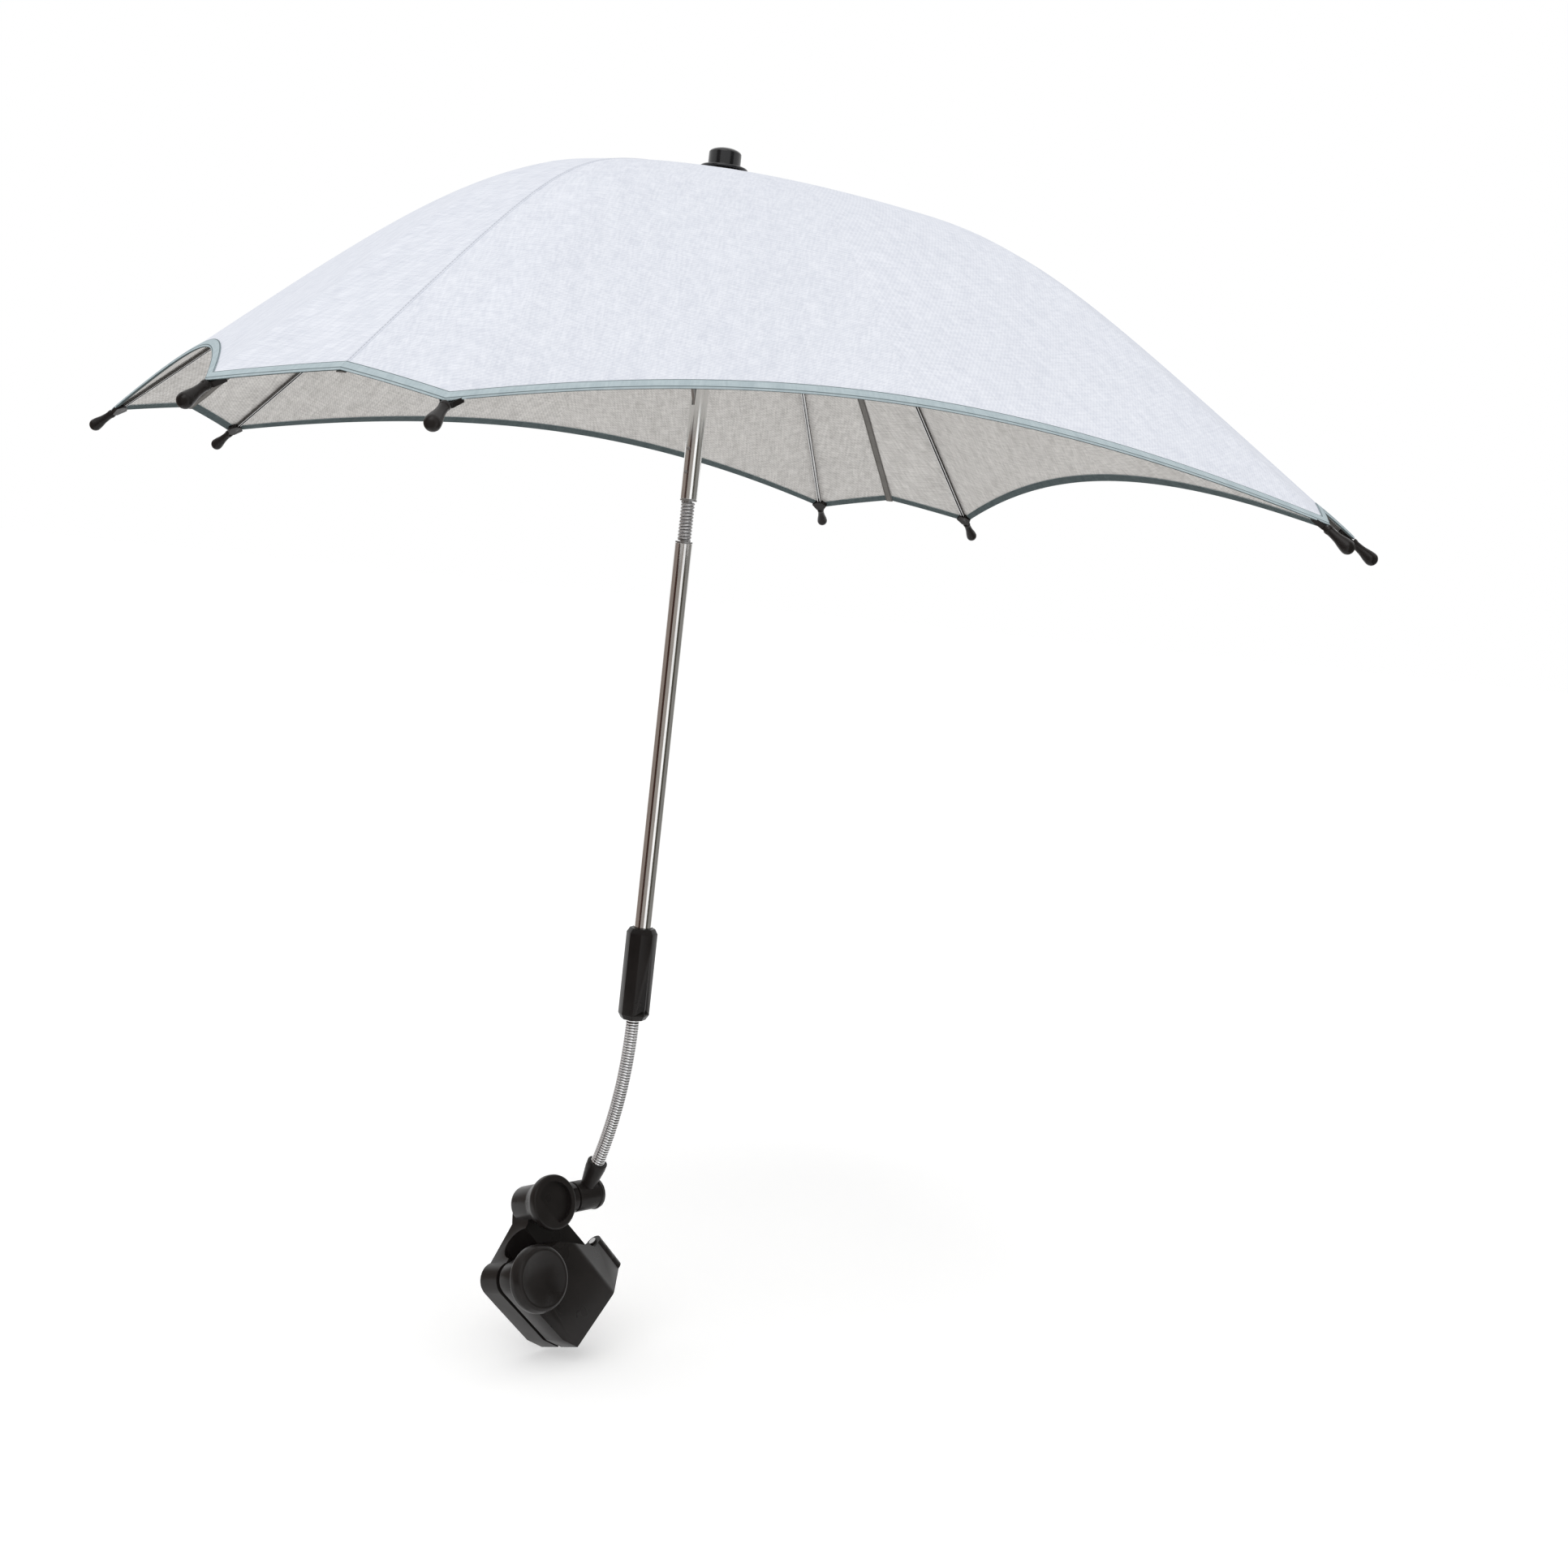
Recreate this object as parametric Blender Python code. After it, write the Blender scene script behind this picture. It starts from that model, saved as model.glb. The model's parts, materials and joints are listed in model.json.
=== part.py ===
"""Square parasol for a wheelchair: a clamp, a bendable neck, a two-piece pole and a folding canopy.

Every piece is its own object. Lengths are in metres and +Z runs up the pole. The origin is the
middle of the clamp's seat, on the axis of the frame tube that the clamp holds.
"""

import math

import bmesh
import bpy
from mathutils import Matrix, Vector

# Clearances
GAP = 0.0003
SLIDE_GAP = 0.0006
PIN_GAP = 0.0003

# Small edges, and how far a cutter runs
EDGE = 0.001
FINE_EDGE = 0.0006
PROUD = 0.00003
REACH = 0.2

# Clamp: x runs along the frame tube, z out towards the knob
TUBE_SLOPE = math.radians(48.5)
CLAMP_ROLL = math.radians(30.0)
FRAME_TUBE_R = 0.0125
LINER_THICKNESS = 0.0015
LINER_ARC = math.radians(140.0)
LINER_HALF_LENGTH = 0.031
SEAT_HALF_LENGTH = 0.035
JAW_WALL = 0.008
JAW_PARTING = 0.002
JAW_LIP_U = -0.040
JAW_SHOULDER_U = 0.026
JAW_NOSE = 0.0066
JAW_FILLET = 0.003
LIP_CUT_T = 0.015
LIP_CUT_LOW = 0.004
LIP_CUT_HIGH = 0.010
SEAT_SHOULDER = 0.002
ARM_INSET = 0.005
HINGE_U = 0.054
HINGE_RADIUS = 0.007
HINGE_PIN_R = 0.002
PIN_HEAD_R = 0.0032
PIN_HEAD = 0.0012
HINGE_START = 0.0044
BOLT_T = -0.037
BOLT_U = -0.025
EAR_RADIUS = 0.014
STUD_R = 0.003
STUD_HOLE_R = 0.0042
NUT_FLATS = 0.010
NUT_HEIGHT = 0.005
WASHER_R = 0.009
WASHER_THICKNESS = 0.001
KNOB_RIM_R = 0.0265
KNOB_DISH_R = 0.0215
KNOB_DISH_DEPTH = 0.006
KNOB_HEIGHT = 0.0165
KNOB_HUB_R = 0.012
KNOB_HUB = 0.0026
KNOB_BACK_R = 0.0244
KNOB_BACK = 0.004
KNOB_EDGE_LOW = 0.0069
KNOB_EDGE_HIGH = 0.0109
KNOB_LIP = 0.003
KNOB_BORE = 0.0069
LOBE_BACKSET = 0.045
LOBE_RADIUS = 0.022
LOBE_FRONT = 0.022
LOBE_RECESS_DEPTH = 0.003
LOBE_RIM = 0.0055
LOBE_FLAT_DROP = 0.009
LOBE_REAR = 0.018
LOBE_BEVEL = 0.0015

# Swivel head that carries the neck
HEAD_T = -0.0313
HEAD_U = 0.072
HEAD_A = 0.0042
BARREL_R = 0.0125
BARREL_HALF = 0.013
BAND_HEIGHT = 0.0007
BAND_LOW = 0.0078
BAND_HIGH = 0.011
PIVOT_R = 0.003
PIVOT_HEAD_R = 0.0052
PIVOT_HEAD_HEIGHT = 0.003
PIVOT_RECESS = 0.0021
PIVOT_DRIVE_R = 0.0024
DRIVE_DEPTH = 0.0018
PIVOT_DEPTH = 0.022
PIVOT_WASHER_R = 0.0085
SOCKET_TOP = 0.034
SOCKET_TOP_R = 0.0083
SOCKET_ROOT_R = 0.0064
SOCKET_DEPTH = 0.015
SOCKET_BAND = 0.006

# Bendable neck
NECK_ARC_LENGTH = 0.128
NECK_BEND = math.radians(21.2)
NECK_R = 0.0057
NECK_GROOVE_R = 0.0049
NECK_BORE_R = 0.0028
NECK_RIB_PITCH = 0.0023
NECK_IN_SLEEVE = 0.016

# Sleeve and pole
SLEEVE_LENGTH = 0.074
SLEEVE_FLAT_R = 0.0115
SLEEVE_CHAMFER = 0.004
SLEEVE_CHAMFER_IN = 0.0024
SLEEVE_FLOOR = 0.020
SCREW_R = 0.002
SCREW_DRIVE_R = 0.001
TUBE_LIP = 0.0003
LOWER_TUBE_R = 0.007
LOWER_TUBE_WALL = 0.001
LOWER_TUBE_SHOWN = 0.3061
UPPER_TUBE_R = 0.0068
UPPER_TUBE_WALL = 0.0008
TUBE_TOP_DROP = 0.0037

# Tilt joint
TILT_LENGTH = 0.0345
TILT_WIRE_R = 0.001
TILT_COIL_R = 0.0045
TILT_PITCH = 0.0026
COIL_POINTS = 9
PLUG_FLANGE = 0.0012
PLUG_DEPTH = 0.015
PLUG_CLEARANCE = 0.0014
PLUG_PIN_R = 0.0030
PLUG_PIN_LENGTH = 0.010

# Hub, runner and catch
PIVOT_RING_R = 0.012
RING_WIRE_R = 0.0005
WIRE_STRAIGHT = 0.0012
EYE_R = 0.0019
EYE_HOLE_R = 0.0009
TANG_THICKNESS = 0.0015
TANG_LENGTH = 0.008
TANG_HEIGHT = 0.0025
SLOT_CLEARANCE = 0.0003
SLOT_ROOT_R = 0.0096
HUB_R = 0.0138
HUB_TOP_DROP = 0.0035
HUB_ROOF = 0.002
RIB_PIVOT_DROP = 0.0080
HUB_BELOW_PIVOT = 0.0045
RUNNER_PIVOT_DROP = 0.122
RUNNER_ABOVE_PIVOT = 0.0035
RUNNER_FLOOR = 0.0015
RUNNER_BODY_R = 0.0096
RUNNER_FOOT_R = 0.0115
RUNNER_FOOT = 0.003
RUNNER_CONE = 0.003
RUNNER_TAPER = 0.0018
RUNNER_TAIL = 0.041
CATCH_ANGLE = math.radians(-150.0)
CATCH_WIDTH = 0.0024
CATCH_TAIL = 0.0043
CATCH_NOSE = 0.003
CATCH_RAMP = 0.014
CATCH_REACH = 0.0028
CATCH_SHEET = 0.0008
RIVET_R = 0.0016
RIVET_SHANK_R = 0.001
RIVET_BELOW_RUNNER = 0.048
RIVET_PITCH = 0.018
RIVET_HEAD = 0.0003

# Crown
CROWN_HOLE_R = 0.0085
CAP_FLANGE_R = 0.0185
CAP_FLANGE = 0.0022
CAP_BODY_R = 0.0125
CAP_HEIGHT = 0.0165
CAP_DOME = 0.0046
CAP_EDGE = 0.0008
CAP_STEM = 0.013
CROWN_WASHER_R = 0.0155
CROWN_WASHER = 0.0008

# Ribs, stretchers and tips
RIB_SPREAD = math.radians(8.96)
RIB_REACH = 0.5011
RIB_FALL = 0.2268
ARCH_REACH = 0.2537
ARCH_FALL = 0.0427
BEND_REACH = 0.2177
BEND_FALL = 0.0197
RIB_WIDTH = 0.0030
RIB_HEIGHT = 0.0026
RIB_WALL = 0.0006
RIB_TAIL = 0.007
RIB_START = 0.03
RIB_FERRULE = 0.005
FERRULE_EXTRA = 0.0002
STRETCHER_AT = 0.5
SADDLE_HALF = 0.005
SADDLE_DROP = 0.0029
SADDLE_FOOT = 0.0016
RIVET_PIN_R = 0.0008
BAR_WIDTH = 0.0024
BAR_HEIGHT = 0.0026
BAR_WALL = 0.0005
CHEEK = 0.0008
CHEEK_R = 0.0019
BLOCK_EXTRA = 0.0002
BLOCK_LAP = 0.003
FORK_ROOT = 0.0080
FORK_BLOCK = 0.004
TIP_START = 0.001
TIP_LENGTH = 0.0235
TIP_NECK_R = 0.0030
TIP_BULB_R = 0.0044
TIP_COLLAR_R = 0.0038
TIP_COLLAR = 0.0022
TIP_NECK = 0.0056
TIP_BORE_DEPTH = 0.009

# Cloth
CLOTH = 0.0007
LONG_HEM_CUT = 0.043
CORNER_HEM_CUT = 0.0128
LONG_BULGE = 0.0226
CORNER_BULGE = 0.0132
LONG_COLUMNS = 6
CORNER_COLUMNS = 4
CLOTH_ROWS = 10
BINDING_WIDTH = 0.007
BINDING = 0.0006
TAPE_WIDTH = 0.012
TAPE = 0.0005
TAPE_FIRST_ROW = 1
TAPE_END = 0.9

# Sides of round pieces
KNOB_ROUND = 28
ROUND = 24
MIDDLE_ROUND = 16
SMALL_ROUND = 10
TINY_ROUND = 8
PIN_ROUND = 6

# Values that follow from the ones above
SEAT_R = FRAME_TUBE_R + LINER_THICKNESS + GAP
JAW_OUTER = SEAT_R + JAW_WALL
UPPER_RIVET_DROP = RUNNER_PIVOT_DROP + RUNNER_TAIL + RIVET_BELOW_RUNNER
LOWER_RIVET_DROP = UPPER_RIVET_DROP + RIVET_PITCH
CATCH_LENGTH = RIVET_BELOW_RUNNER + RIVET_PITCH + CATCH_TAIL - GAP
UPPER_TUBE_TAIL = CATCH_TAIL + PLUG_CLEARANCE + PLUG_DEPTH
HEM_SLOPE = math.atan2(RIB_FALL - BEND_FALL, RIB_REACH - BEND_REACH)
CREASE = math.tan(math.pi / 4 - RIB_SPREAD) * math.sin(HEM_SLOPE)
RIB_DROP = CLOTH / 2 + GAP + RIB_HEIGHT / 2 + CREASE * RIB_WIDTH / 2


def clear_scene():
    """Removes every object of the startup scene."""
    for obj in list(bpy.data.objects):
        bpy.data.objects.remove(obj)


def material(name, colour, metallic, roughness):
    """A Principled material with a plain colour."""
    made = bpy.data.materials.new(name)
    made.use_nodes = True
    shader = made.node_tree.nodes["Principled BSDF"]
    shader.inputs["Base Color"].default_value = (*colour, 1.0)
    shader.inputs["Metallic"].default_value = metallic
    shader.inputs["Roughness"].default_value = roughness
    return made


def add_object(name, vertices, faces, paint, frame=None):
    """An object from points and faces, with its faces turned outwards."""
    mesh = bpy.data.meshes.new(name)
    mesh.from_pydata([tuple(v) for v in vertices], [], faces)
    shape = bmesh.new()
    shape.from_mesh(mesh)
    bmesh.ops.recalc_face_normals(shape, faces=shape.faces)
    shape.to_mesh(mesh)
    shape.free()
    obj = bpy.data.objects.new(name, mesh)
    bpy.context.scene.collection.objects.link(obj)
    obj.data.materials.append(paint)
    if frame is not None:
        obj.matrix_world = frame
    return obj


def loft(name, rings, paint, frame=None, loop=False):
    """A solid through rings of equal length, capped at both ends, or closed on itself."""
    count = len(rings[0])
    vertices = [point for ring in rings for point in ring]
    faces = []
    spans = len(rings) if loop else len(rings) - 1
    for i in range(spans):
        here = i * count
        there = ((i + 1) % len(rings)) * count
        for j in range(count):
            k = (j + 1) % count
            faces.append((here + j, here + k, there + k, there + j))
    if not loop:
        faces.append(tuple(range(count))[::-1])
        faces.append(tuple((len(rings) - 1) * count + j for j in range(count)))
    return add_object(name, vertices, faces, paint, frame)


def prism(name, outline, low, high, paint, frame=None, place=None):
    """An outline extruded from low to high. place turns (across, up, along) into x, y, z."""
    place = place or (lambda across, up, along: (across, up, along))
    rings = [[place(a, b, level) for a, b in outline] for level in (low, high)]
    return loft(name, rings, paint, frame)


def box(name, low, high, paint, frame=None):
    """A block between two corners."""
    outline = [(low[0], low[1]), (high[0], low[1]), (high[0], high[1]), (low[0], high[1])]
    return prism(name, outline, low[2], high[2], paint, frame)


def turned(name, profile, paint, frame=None, sides=ROUND):
    """A body turned round local z. The profile is (radius, height) and closes on itself.

    A profile that starts and ends at radius 0 makes a solid body, any other a ring.
    """
    vertices = []
    rows = []
    for radius, height in profile:
        if radius == 0:
            rows.append([len(vertices)] * sides)
            vertices.append((0.0, 0.0, height))
            continue
        rows.append(list(range(len(vertices), len(vertices) + sides)))
        for j in range(sides):
            angle = 2 * math.pi * j / sides
            vertices.append((radius * math.cos(angle), radius * math.sin(angle), height))
    solid = profile[0][0] == 0
    spans = len(rows) - 1 if solid else len(rows)
    faces = []
    for i in range(spans):
        here, there = rows[i], rows[(i + 1) % len(rows)]
        for j in range(sides):
            k = (j + 1) % sides
            corners = [here[j], here[k], there[k], there[j]]
            face = [c for n, c in enumerate(corners) if c not in corners[:n]]
            if len(face) > 2:
                faces.append(tuple(face))
    return add_object(name, vertices, faces, paint, frame)


def rod(name, radius, low, high, paint, frame=None, sides=SMALL_ROUND):
    """A plain cylinder on local z."""
    return turned(name, [(0, low), (radius, low), (radius, high), (0, high)], paint, frame, sides)


def arc(centre, radius, start, end, steps):
    """Points on a circle, ends included."""
    points = []
    for i in range(steps + 1):
        angle = start + (end - start) * i / steps
        points.append((centre[0] + radius * math.cos(angle), centre[1] + radius * math.sin(angle)))
    return points


def rounded(corners, radius, steps=3):
    """A polygon with its corners rounded, each as far as its sides allow."""
    points = []
    count = len(corners)
    for i in range(count):
        corner = Vector(corners[i])
        before = Vector(corners[i - 1]) - corner
        after = Vector(corners[(i + 1) % count]) - corner
        half = before.angle(after) / 2
        reach = min(radius / math.tan(half), before.length / 2.2, after.length / 2.2)
        start = corner + before.normalized() * reach
        end = corner + after.normalized() * reach
        for k in range(steps + 1):
            t = k / steps
            point = start * (1 - t) ** 2 + corner * 2 * t * (1 - t) + end * t**2
            points.append((point.x, point.y))
    return points


def boolean(target, tool, operation):
    """Applies one exact Boolean to target and removes the tool."""
    modifier = target.modifiers.new(operation.title(), "BOOLEAN")
    modifier.solver = "EXACT"
    modifier.operation = operation
    modifier.object = tool
    bpy.context.view_layer.update()
    graph = bpy.context.evaluated_depsgraph_get()
    made = bpy.data.meshes.new_from_object(target.evaluated_get(graph))
    target.modifiers.clear()
    used = target.data
    target.data = made
    bpy.data.meshes.remove(used)
    bpy.data.objects.remove(tool)


def join(target, *tools):
    """Unites each tool with target."""
    for tool in tools:
        boolean(target, tool, "UNION")


def cut(target, *tools):
    """Cuts each tool out of target."""
    for tool in tools:
        boolean(target, tool, "DIFFERENCE")


def axes(x, y, z, origin=(0, 0, 0)):
    """A frame from three unit axes and an origin."""
    frame = Matrix.Identity(4)
    for column, axis in enumerate((x, y, z)):
        for row in range(3):
            frame[row][column] = axis[row]
    frame.translation = Vector(origin)
    return frame


def clamp_frame():
    """x along the frame tube, z out towards the knob, y across both."""
    along = Vector((math.cos(TUBE_SLOPE), 0, -math.sin(TUBE_SLOPE)))
    level = Vector((0, -1, 0))
    out = level * math.cos(CLAMP_ROLL) + level.cross(along) * math.sin(CLAMP_ROLL)
    return axes(along, out.cross(along), out)


CLAMP = clamp_frame()
SIDE = Vector((0, 0, 1)).cross(CLAMP.col[2].to_3d()).normalized()
BACK = Vector((-SIDE.y, SIDE.x, 0))
HEAD = CLAMP @ Vector((HEAD_T, HEAD_U, HEAD_A))
SOCKET_AXIS = Vector((0, 0, math.cos(NECK_BEND))) - BACK * math.sin(NECK_BEND)
NECK_BEND_R = NECK_ARC_LENGTH / NECK_BEND
NECK_FOOT = HEAD + SOCKET_AXIS * SOCKET_TOP
NECK_OFFSET = NECK_BEND_R * (1 - math.cos(NECK_BEND))
NECK_RISE = NECK_BEND_R * math.sin(NECK_BEND)
POLE_FOOT = NECK_FOOT - BACK * NECK_OFFSET + Vector((0, 0, NECK_RISE))
POLE = Matrix.Translation(POLE_FOOT)
SLEEVE_TOP = SLEEVE_LENGTH
TILT_LOW = SLEEVE_TOP + LOWER_TUBE_SHOWN
TILT_HIGH = TILT_LOW + TILT_LENGTH
CROWN = TILT_HIGH + UPPER_TUBE_TAIL + LOWER_RIVET_DROP
CROWN_FRAME = POLE @ Matrix.Translation((0, 0, CROWN))
RIB_ANGLES = [
    math.radians(quarter) + side * RIB_SPREAD
    for quarter in (45, 135, 225, 315)
    for side in (-1, 1)
]


def in_clamp(t, u, a=0.0):
    """The clamp's frame moved to a point of its own."""
    return CLAMP @ Matrix.Translation((t, u, a))


def head_frame():
    """x along the swivel's pivot, z up the socket."""
    return axes(SIDE, SOCKET_AXIS.cross(SIDE), SOCKET_AXIS, HEAD)


def pivot_frame():
    """z along the swivel's pivot, away from the clamp."""
    return axes(SOCKET_AXIS.cross(SIDE), SOCKET_AXIS, SIDE, HEAD)


def spoke(angle, radius=0.0, drop=0.0):
    """x out along a rib's direction, at a radius from the pole and below the crown."""
    place = Matrix.Translation((radius, 0, -drop))
    return CROWN_FRAME @ Matrix.Rotation(angle, 4, "Z") @ place


def seat_frame(t=0.0, u=0.0, a=0.0):
    """z along the frame tube, x across it, from a point of the clamp."""
    place = CLAMP @ Vector((t, u, a))
    return axes(CLAMP.col[1].to_3d(), CLAMP.col[2].to_3d(), CLAMP.col[0].to_3d(), place)


def along_seat(u, a, t):
    """Places an outline drawn across the clamp at a station along it."""
    return (t, u, a)


# Clamp


def hinge_spans():
    """Start and end of the three hinge lugs: body, jaw, body."""
    step = (SEAT_HALF_LENGTH + GAP - HINGE_START) / 3
    return [(HINGE_START + i * step, HINGE_START + (i + 1) * step - GAP) for i in range(3)]


def ear():
    """The rounded end of both jaws that the knob's stud passes through."""
    return arc((BOLT_T, BOLT_U), EAR_RADIUS, math.radians(150), math.radians(270), 6)


def jaw_section(side):
    """A jaw's outline across the frame tube. side is 1 for the front jaw, -1 for the rear."""
    corners = [
        (JAW_LIP_U, side * JAW_PARTING),
        (HINGE_U, side * JAW_PARTING),
        (HINGE_U, side * JAW_NOSE),
        (JAW_SHOULDER_U, side * JAW_OUTER),
        (JAW_LIP_U, side * JAW_OUTER),
    ]
    return rounded(corners, JAW_FILLET)


def lobe_centre():
    """Middle of the lobe, back along the swivel's pivot from the head."""
    along = CLAMP.inverted().to_3x3() @ SIDE
    return HEAD_T - along.x * LOBE_BACKSET, HEAD_U - along.y * LOBE_BACKSET


def jaw_plan():
    """The front jaw's outline seen from the knob."""
    right = SEAT_HALF_LENGTH
    corners = [
        (right, JAW_LIP_U + LIP_CUT_HIGH),
        (right, HINGE_U),
        (HINGE_START, HINGE_U),
        (HINGE_START, HINGE_U - HINGE_RADIUS + EDGE),
        (-right, SEAT_R + SEAT_SHOULDER),
    ]
    return corners + ear() + [(right - LIP_CUT_T, JAW_LIP_U + LIP_CUT_LOW)]


def body_plan():
    """The rear jaw's outline, with the arm that reaches the lobe."""
    right = SEAT_HALF_LENGTH
    lobe_t, lobe_u = lobe_centre()
    corners = [
        (right, JAW_LIP_U + LIP_CUT_HIGH),
        (right, HINGE_U),
        (HINGE_START, HINGE_U),
        (HINGE_START, HINGE_U - HINGE_RADIUS + EDGE),
        (-right + ARM_INSET, HINGE_U - HINGE_RADIUS),
        (lobe_t, lobe_u + LOBE_RADIUS * 0.6),
        (lobe_t - LOBE_RADIUS * 0.5, lobe_u),
        (lobe_t + LOBE_RADIUS * 0.2, lobe_u - LOBE_RADIUS * 0.8),
    ]
    return corners + ear() + [(right - LIP_CUT_T, JAW_LIP_U + LIP_CUT_LOW)]


def jaw_block(name, side, plan, paint):
    """A jaw as its section run along the tube, trimmed to its plan, with the seat cut."""
    block = prism(name, jaw_section(side), -REACH, REACH, paint, CLAMP, along_seat)
    boolean(block, prism("plan", plan, -REACH, REACH, paint, CLAMP), "INTERSECT")
    cut(block, rod("seat", SEAT_R, -REACH, REACH, paint, seat_frame(), 32))
    return block


def add_hinge(block, own, other, paint):
    """Adds a jaw's own hinge lugs, clears the other jaw's and bores the pin hole."""
    frame = seat_frame(0, HINGE_U, 0)
    for low, high in other:
        clear = rod("clear", HINGE_RADIUS + GAP, low - GAP, high + GAP, paint, frame, ROUND)
        cut(block, clear)
    for low, high in own:
        join(block, rod("lug", HINGE_RADIUS, low, high, paint, frame, ROUND))
    cut(block, rod("pin hole", HINGE_PIN_R + PIN_GAP, -REACH, REACH, paint, frame))


def lobe_recess(paint):
    """The D-shaped pocket in the lobe's face."""
    lobe_t, lobe_u = lobe_centre()
    radius = LOBE_RADIUS - LOBE_RIM
    dip = math.asin(LOBE_FLAT_DROP / radius)
    outline = arc((lobe_t, lobe_u), radius, -dip, math.pi + dip, 18)
    floor = LOBE_FRONT - LOBE_RECESS_DEPTH
    return prism("recess", outline, floor, REACH, paint, CLAMP)


def boss_face():
    """Distance from the head's middle to the boss that the knuckle turns against."""
    return BARREL_HALF + 2 * GAP + WASHER_THICKNESS


def make_clamp_body(paint):
    """Rear jaw, arm, lobe and the boss that the swivel turns against."""
    lobe_t, lobe_u = lobe_centre()
    spans = hinge_spans()
    body = jaw_block("clamp_body", -1, body_plan(), paint)
    bevel = LOBE_BEVEL
    lobe = [
        (0, -LOBE_REAR),
        (LOBE_RADIUS - bevel, -LOBE_REAR),
        (LOBE_RADIUS, -LOBE_REAR + bevel),
        (LOBE_RADIUS, LOBE_FRONT - bevel),
        (LOBE_RADIUS - bevel, LOBE_FRONT),
        (0, LOBE_FRONT),
    ]
    join(body, turned("lobe", lobe, paint, in_clamp(lobe_t, lobe_u), KNOB_ROUND))
    face = boss_face()
    join(body, rod("boss", BARREL_R, -LOBE_BACKSET, -face, paint, pivot_frame(), ROUND))
    cut(body, lobe_recess(paint))
    add_hinge(body, [spans[0], spans[2]], [spans[1]], paint)
    bolt = in_clamp(BOLT_T, BOLT_U)
    nut_floor = -JAW_OUTER + NUT_HEIGHT + GAP
    cut(body, rod("stud hole", STUD_R + SLIDE_GAP, -REACH, REACH, paint, bolt))
    nut_r = (NUT_FLATS / 2 + GAP) / math.cos(math.pi / 6)
    cut(body, rod("nut pocket", nut_r, -REACH, nut_floor, paint, bolt, 6))
    hole_end = -(face + PIVOT_DEPTH)
    cut(body, rod("pivot hole", PIVOT_R + PIN_GAP, hole_end, 0, paint, pivot_frame()))
    return body


def make_clamp_jaw(paint):
    """Front jaw, which swings on the hinge pin."""
    spans = hinge_spans()
    jaw = jaw_block("clamp_jaw", 1, jaw_plan(), paint)
    add_hinge(jaw, [spans[1]], [spans[0], spans[2]], paint)
    bolt = in_clamp(BOLT_T, BOLT_U)
    cut(jaw, rod("stud hole", STUD_HOLE_R, -REACH, REACH, paint, bolt))
    return jaw


def make_liner(name, side, paint):
    """A rubber pad between a jaw and the frame tube."""
    middle = side * math.pi / 2
    half = LINER_ARC / 2
    outer = arc((0, 0), FRAME_TUBE_R + LINER_THICKNESS, middle - half, middle + half, 14)
    inner = arc((0, 0), FRAME_TUBE_R, middle + half, middle - half, 14)
    long = LINER_HALF_LENGTH
    return prism(name, outer + inner, -long, long, paint, CLAMP, along_seat)


def make_hinge_pin(paint):
    """Headed pin through the clamp's hinge."""
    low, high = hinge_spans()[0][0], hinge_spans()[2][1]
    head = PIN_HEAD_R
    thick = PIN_HEAD
    profile = [
        (0, low - GAP - thick),
        (head, low - GAP - thick),
        (head, low - GAP),
        (HINGE_PIN_R, low - GAP),
        (HINGE_PIN_R, high + GAP),
        (head, high + GAP),
        (head, high + GAP + thick),
        (0, high + GAP + thick),
    ]
    return turned("hinge_pin", profile, paint, seat_frame(0, HINGE_U, 0), SMALL_ROUND)


def make_clamp_nut(paint):
    """Captive hexagon nut in the rear jaw's ear."""
    low = -JAW_OUTER
    radius = NUT_FLATS / 2 / math.cos(math.pi / 6)
    frame = in_clamp(BOLT_T, BOLT_U)
    nut = rod("clamp_nut", radius, low, low + NUT_HEIGHT, paint, frame, 6)
    cut(nut, rod("thread", STUD_R + PIN_GAP, -REACH, REACH, paint, frame))
    return nut


def make_washer(name, bore, radius, thickness, paint, frame):
    """A flat ring."""
    profile = [(bore, 0), (radius, 0), (radius, thickness), (bore, thickness)]
    return turned(name, profile, paint, frame, MIDDLE_ROUND)


def knob_frame():
    """z out along the knob's stud, from the knob's back face."""
    return in_clamp(BOLT_T, BOLT_U, JAW_OUTER + WASHER_THICKNESS + 2 * GAP)


def make_knob(paint):
    """Round knob with a dished face."""
    bore = STUD_R + GAP
    high = KNOB_HEIGHT
    profile = [
        (0, KNOB_BORE),
        (bore, KNOB_BORE),
        (bore, 0),
        (KNOB_HUB_R, 0),
        (KNOB_HUB_R, KNOB_HUB),
        (KNOB_BACK_R, KNOB_BACK),
        (KNOB_RIM_R, KNOB_EDGE_LOW),
        (KNOB_RIM_R, KNOB_EDGE_HIGH),
        (KNOB_DISH_R + KNOB_LIP, high - EDGE),
        (KNOB_DISH_R + EDGE, high),
        (KNOB_DISH_R, high),
    ]
    steps = 4
    for i in range(1, steps + 1):
        radius = KNOB_DISH_R * (1 - i / steps)
        depth = KNOB_DISH_DEPTH * (1 - (radius / KNOB_DISH_R) ** 2)
        profile.append((radius, high - depth))
    return turned("clamp_knob", profile, paint, knob_frame(), KNOB_ROUND)


def make_stud(paint):
    """Threaded stud moulded into the knob."""
    low = -(2 * JAW_OUTER + WASHER_THICKNESS)
    bevel = FINE_EDGE
    profile = [
        (0, low),
        (STUD_R - bevel, low),
        (STUD_R, low + bevel),
        (STUD_R, KNOB_BORE - GAP),
        (0, KNOB_BORE - GAP),
    ]
    return turned("knob_stud", profile, paint, knob_frame(), SMALL_ROUND)


# Swivel head and neck


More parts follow.
